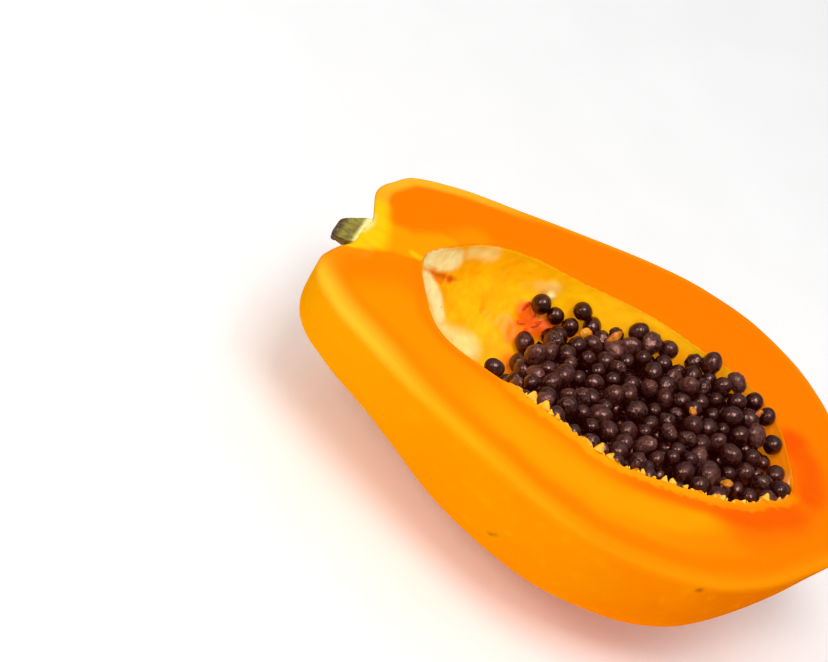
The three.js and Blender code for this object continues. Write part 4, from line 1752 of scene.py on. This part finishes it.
@dataclass
class Tufts:
    """Torn ends of the membrane that stand along the -Y edge of the cavity.

    large has the place along X and the length of each tuft. The shares are ranges for
    random lengths, and sideways and upwards are ranges for how the tips lean.
    """

    form: FruitForm
    start: float = -23
    end: float = 61
    pitch: float = 2.1
    jitter: float = 1.0
    short: float = 0.45
    tuft_reach: float = 1.5
    slenderness: float = 0.7
    least_width: float = 0.35
    root: float = 0.6
    sunk: float = 0.5
    inward: float = 0.1
    short_share: Range = (0.1, 1.0)
    tuft_share: Range = (0.6, 1.0)
    sideways: Range = (-0.5, 0.5)
    upwards: Range = (0.2, 1.0)
    tip_width: float = 0.22
    raggedness: float = 0.9
    ragged_size: float = 1.8
    large: tuple = (
        (-20.5, 2.6), (-15, 3.4), (-11.5, 2.4), (5, 2.4), (9, 1.8), (21.5, 2.2), (29, 3.0),
        (33, 2.2), (46, 1.6), (52, 1.6), (59, 2.6),
    )
    draw: int = 5
    # Painted light: the membrane's glow lifts the shade on the tufts
    finish: PlainFinish = PlainFinish(
        "membrane", srgb(255, 202, 66), srgb(254, 172, 12), 3, 0.4, glow=0.15
    )

    def _tree(self, material: bpy.types.Material) -> NodeTree:
        """The tree that puts a ragged tip on each point.

        Args:
            material: finish of the tips.

        Returns:
            The tree.
        """
        tree = NodeTree("membrane_tufts")
        tree.size("Raggedness")
        tip = tree.add(
            "GeometryNodeMeshCone", Vertices=10, Side_Segments=6, Radius_Top=self.tip_width,
            Radius_Bottom=1.0, Depth=1.0,
        )
        placed = tree.add(
            "GeometryNodeInstanceOnPoints", Points=tree.given("Geometry"),
            Instance=tip.outputs[0], Rotation=tree.stored("turn", "FLOAT_VECTOR"),
            Scale=tree.stored("size", "FLOAT_VECTOR"),
        )
        real = tree.add("GeometryNodeRealizeInstances", Geometry=placed.outputs[0])
        scale = 1 / (self.ragged_size * MM)
        uneven = tree.add("ShaderNodeTexNoise", Scale=scale, Detail=0.0).outputs[1]
        settings, middle = {"operation": "SUBTRACT"}, (0.5, 0.5, 0.5)
        shift = tree.add("ShaderNodeVectorMath", settings, n0=uneven, n1=middle).outputs[0]
        offset = tree.scaled(shift, tree.given("Raggedness"))
        moved = tree.add("GeometryNodeSetPosition", Geometry=real.outputs[0], Offset=offset)
        tree.finish(moved.outputs[0], material)
        return tree

    def build(self) -> bpy.types.Object:
        """Makes the tips: short ones all along the edge, and long ones in tufts.

        Returns:
            The tufts.
        """
        random = np.random.default_rng(self.draw)
        x = np.arange(self.start, self.end, self.pitch)
        count = len(x)
        x = x + random.uniform(-self.jitter, self.jitter, count)
        length = self.short * random.uniform(*self.short_share, count)
        for place, size in self.large:
            share = np.exp(-(((x - place) / self.tuft_reach) ** 2))
            length = np.maximum(length, size * share * random.uniform(*self.tuft_share, count))
        y = self.form.middle(x) - self.form.cavity_radius(x)
        root = np.full(count, self.form.cut - self.sunk)
        points = np.stack([x, y + self.inward, root], axis=1)
        sideways = random.uniform(*self.sideways, count)
        lean = np.stack([sideways, 0 * x + 1, random.uniform(*self.upwards, count)], axis=1)
        width = self.slenderness * length + self.least_width
        rows = {
            "turn": [Vector(way).to_track_quat("Z", "Y").to_euler() for way in lean],
            "size": np.stack([width, width, length + self.root], axis=1) * MM,
        }
        made = make_object("membrane_tufts", points, [], self.finish.make())
        for name, values in rows.items():
            layer = made.data.attributes.new(name, "FLOAT_VECTOR", "POINT")
            layer.data.foreach_set("vector", np.array(values, float).ravel())
        return self._tree(made.data.materials[0]).apply(made, Raggedness=self.raggedness * MM)


@dataclass
class HeapCore:
    """Dark filling of the cavity under the seeds, with a gap to its wall."""

    form: FruitForm
    heap: HeapForm
    gap: float = 0.6
    drop: float = 9
    stations: int = 160
    steps: int = 60
    # Painted light: the bed's glow lifts the shade between the seeds to a dark red
    finish: PlainFinish = PlainFinish("seed_bed", srgb(62, 6, 2), srgb(76, 12, 5), 4, glow=0.12)

    def build(self) -> bpy.types.Object:
        """Makes the filling: the cavity's own form, cut off under the seeds.

        Returns:
            The filling.
        """
        x, r = spline(self.form.cavity, self.stations).T
        r = np.maximum(0, r - self.gap)
        angles = np.linspace(0, math.pi, self.steps)
        rings = [self.form.wall(x, r, angle + 0 * x) for angle in angles]
        for angle in angles[::-1][1:-1]:
            floor = self.form.wall(x, r, angle + 0 * x)
            top = self.heap.height(floor[:, 0], floor[:, 1]) - self.drop
            floor[:, 2] = np.maximum(floor[:, 2], top)
            rings.append(floor)
        grid = np.stack(rings, axis=1)
        under = self.heap.height(grid[..., 0], grid[..., 1]) - self.drop
        lowest = np.maximum(under, self._floor(grid))
        grid[..., 2] = np.where(grid[..., 2] > under, lowest, grid[..., 2])
        points, faces, _ = weld(grid)
        return make_object("seed_bed", points, without_sheets(faces), self.finish.make())

    def _floor(self, grid: Array) -> Array:
        """Height of the filling's underside.

        Args:
            grid: points, in the last axis.

        Returns:
            A height for each point.
        """
        r = np.maximum(0, self.form.cavity_radius(grid[..., 0]) - self.gap)
        across = grid[..., 1] - self.form.middle(grid[..., 0])
        return self.form.cut - self.form.cavity_ratio * np.sqrt(np.maximum(0, r**2 - across**2))


# -------------------------------------------------------------------------------- stem


@dataclass
class Stem:
    """The stub of the stalk, cut along its length with the fruit.

    sections are pairs of share of its length and share of its radius. offset and lean say
    where its middle lies along Y at its base and how far it moves to its end. The drops
    are how far the cut lies under the fruit's, and the pale and dark ends are measured
    from the base and from the end.
    """

    form: FruitForm
    end: float
    base: float = -91.7
    radius: float = 7.2
    offset: float = 0.5
    lean: float = -5
    stations: int = 70
    steps: int = 72
    ridges: int = 5
    ridge: float = 0.07
    fibre: float = 2.6
    grit: float = 1.1
    flat_within: float = 0.05
    least_drop: float = 0.25
    worn_drop: float = 0.7
    rough_drop: float = 0.5
    pale_from: float = 2.2
    pale_full: float = 0.7
    dark_from: float = 3.4
    dark_full: float = 0.8
    sections: tuple = (
        (0, 0), (0.002, 0.9), (0.12, 1), (0.45, 0.9), (0.8, 0.76), (0.95, 0.6), (1, 0.35),
        (1.001, 0),
    )
    finish: StemFinish = StemFinish()

    def _grid(self) -> Array:
        """Points of the smooth stub by station and step, round its back and over its cut.

        Returns:
            The points.
        """
        share, size = spline(self.sections, self.stations).T
        share = np.clip(share, 0, 1)
        x = self.base + (self.end - self.base) * share
        columns = []
        for angle in np.linspace(0, math.pi, self.steps):
            radius = self.radius * size * (1 + self.ridge * math.cos(self.ridges * angle))
            y = self.offset + self.lean * share - radius * math.cos(angle)
            slant = (1 - share) * self.form.shoulder(np.full(len(y), self.base), y, 0)
            z = self.form.cut - radius * math.sin(angle)
            columns.append(np.stack([x + slant, y, z], axis=1))
        for across in np.linspace(0, 1, self.steps // 2)[1:-1]:
            columns.append(columns[self.steps - 1] * (1 - across) + columns[0] * across)
        return np.stack(columns, axis=1)

    def build(self) -> bpy.types.Object:
        """Makes the stub with its ridges and broken end.

        Returns:
            The stub.
        """
        grid, cut = self._grid(), self.form.cut
        points, faces, _ = weld(grid, flipped=True)
        x = points[:, 0]
        flat = cut - points[:, 2] < self.flat_within
        middle = self.offset + self.lean * (x - self.base) / (self.end - self.base)
        out = points - np.stack([x, middle, np.full(len(points), cut)], axis=1)
        away = np.linalg.norm(out, axis=1, keepdims=True) > 1
        rough = 0.7 * noise_at(points, self.fibre, 2.0) + 0.3 * noise_at(points, self.grit, 4.0)
        points = points + np.where(flat[:, None], 0, unit(out) * rough[:, None] * away)
        x = points[:, 0]
        drop = self.least_drop + self.worn_drop * smooth(self.base, self.end, x)
        drop = drop + self.rough_drop * rough + self.rough_drop * np.abs(rough)
        points[:, 2] = np.minimum(points[:, 2], cut - drop)
        made = make_object("stem_stub", points, faces, self.finish.make())
        store(made, "cut", flat * 1.0)
        store(made, "base", smooth(self.base - self.pale_from, self.base - self.pale_full, x))
        store(made, "end", smooth(self.end + self.dark_from, self.end + self.dark_full, x))
        return made


# ------------------------------------------------------------------------------ studio


@dataclass(frozen=True)
class Lamp:
    """A square soft light that faces the fruit, with place and size in metres.

    The place is along the frame's axes, or across, up and back as the camera sees it.
    """

    name: str
    place: Point
    size: float
    watts: float
    as_seen: bool = True
    glossy: bool = True


@dataclass(frozen=True)
class Studio:
    """White floor, soft light and the camera.

    roll, tilt and turn are the camera's angles in degrees. Lengths in px are pixels of the
    rendered image, where the cut face's middle line shows at aim_px at the place aim_x.
    """

    form: FruitForm
    roll: float = -31.40
    tilt: float = 50.28
    turn: float = -0.64
    distance: float = 800
    focal_px: float = 2536
    width_px: float = 828
    height_px: float = 662
    aim_px: tuple[float, float] = (597.8, 372.0)
    aim_x: float = -5.5
    sensor: float = 36
    clip_start: float = 0.05
    floor_reach: float = 3000
    floor_finish: PlainFinish = PlainFinish(
        "floor_white", srgb(250, 250, 250), srgb(252, 252, 252), 40, 0.6, 0.0, 0.1
    )
    room_light: float = 0.28
    lamps: tuple[Lamp, ...] = (
        Lamp("key_light", (0.42, 0.5, 1.15), 0.5, 7.6),
        Lamp("second_light", (-0.45, 0.55, 1.1), 0.35, 3.0),
        Lamp("front_fill", (0.0, -0.5, 1.1), 0.9, 1.8, glossy=False),
        Lamp("top_light", (0, 0.1, 2.2), 3.0, 17, as_seen=False),
    )

    def camera(self) -> bpy.types.Object:
        """Adds the camera, which looks down across the cut face from the -Y side.

        Returns:
            The camera.
        """
        turn = Matrix.Rotation(math.radians(self.roll), 3, "Z")
        turn @= Matrix.Rotation(math.radians(-self.turn), 3, "Y")
        turn @= Matrix.Rotation(math.radians(-self.tilt), 3, "X")
        across = (self.aim_px[0] - self.width_px / 2) / self.focal_px * self.distance
        up = (self.height_px / 2 - self.aim_px[1]) / self.focal_px * self.distance
        place = -(turn.transposed() @ Vector((across, up, -self.distance)))
        place += Vector((self.aim_x, 0, self.form.cut))
        data = bpy.data.cameras.new("camera")
        data.sensor_width = self.sensor
        data.lens = self.focal_px / self.width_px * self.sensor
        data.clip_start = self.clip_start
        made = bpy.data.objects.new("camera", data)
        made.matrix_world = Matrix.Translation(place * MM) @ turn.transposed().to_4x4()
        bpy.context.scene.collection.objects.link(made)
        bpy.context.scene.camera = made
        return made

    def light(self, lamp: Lamp, axes: Matrix) -> None:
        """Adds one of the lamps, turned to the camera's axes where it goes with them.

        Args:
            lamp: the lamp.
            axes: the camera's axes.
        """
        data = bpy.data.lights.new(lamp.name, "AREA")
        data.size = lamp.size
        data.energy = lamp.watts
        place = axes @ Vector(lamp.place) if lamp.as_seen else Vector(lamp.place)
        made = bpy.data.objects.new(lamp.name, data)
        made.location = place
        made.rotation_euler = (-place).to_track_quat("-Z", "Y").to_euler()
        made.visible_glossy = lamp.glossy
        bpy.context.scene.collection.objects.link(made)

    def build(self) -> None:
        """Adds the floor, the lights, the camera and the background."""
        axes = self.camera().matrix_world.to_3x3()
        corners = np.array([(-1, -1, 0), (1, -1, 0), (1, 1, 0), (-1, 1, 0)]) * self.floor_reach
        floor = make_object("floor", corners, [(0, 1, 2, 3)], self.floor_finish.make())
        for lamp in self.lamps:
            self.light(lamp, axes)
        world = bpy.data.worlds.new("room")
        world.use_nodes = True
        background = world.node_tree.nodes["Background"]
        background.inputs["Color"].default_value = (1, 1, 1, 1)
        background.inputs["Strength"].default_value = self.room_light
        bpy.context.scene.world = world
        bpy.context.scene.view_settings.view_transform = "Standard"


def dress(made: bpy.types.Object, slot: str, *nodes: str) -> None:
    """Lets a piece ride on the fruit and hides the CAD nodes that it replaces.

    Args:
        made: the piece.
        slot: the slot that its finish belongs to; it is not used.
        nodes: the CAD nodes that it replaces.
    """
    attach(made, BODY)
    if nodes:
        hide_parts(*nodes)
    LOG.info("%s: %d faces", made.name, len(made.data.polygons))


def millimetres(node: str) -> tuple[Vector, Vector]:
    """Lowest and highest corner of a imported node, in millimetres."""
    low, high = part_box(node)
    return low / MM, high / MM


def main() -> None:
    """Builds the papaya half and its studio, and reports each piece."""
    logging.basicConfig(level=logging.INFO, format="%(name)s: %(message)s")
    _, flesh_high = millimetres("flesh")
    stem_low, _ = millimetres("stem")
    form = FruitForm(cut=flesh_high.z, length=flesh_high.x - stem_low.x)
    heap = HeapForm(form)

    Studio(form).build()
    dress(Flesh(form).build(), "flesh", "flesh")
    *heaped, side, tip = SeedHeap(form, heap).build()
    for seeds in heaped:
        dress(seeds, "seed", "seeds")
    dress(side, "seed", "stray_seed_side")
    dress(tip, "seed", "stray_seed_tip")
    dress(HeapCore(form, heap).build(), "seed", "seeds")
    dress(Tufts(form).build(), "flesh", "flesh")
    dress(Stem(form, stem_low.x).build(), "stem", "stem")


if __name__ == "__main__":
    main()
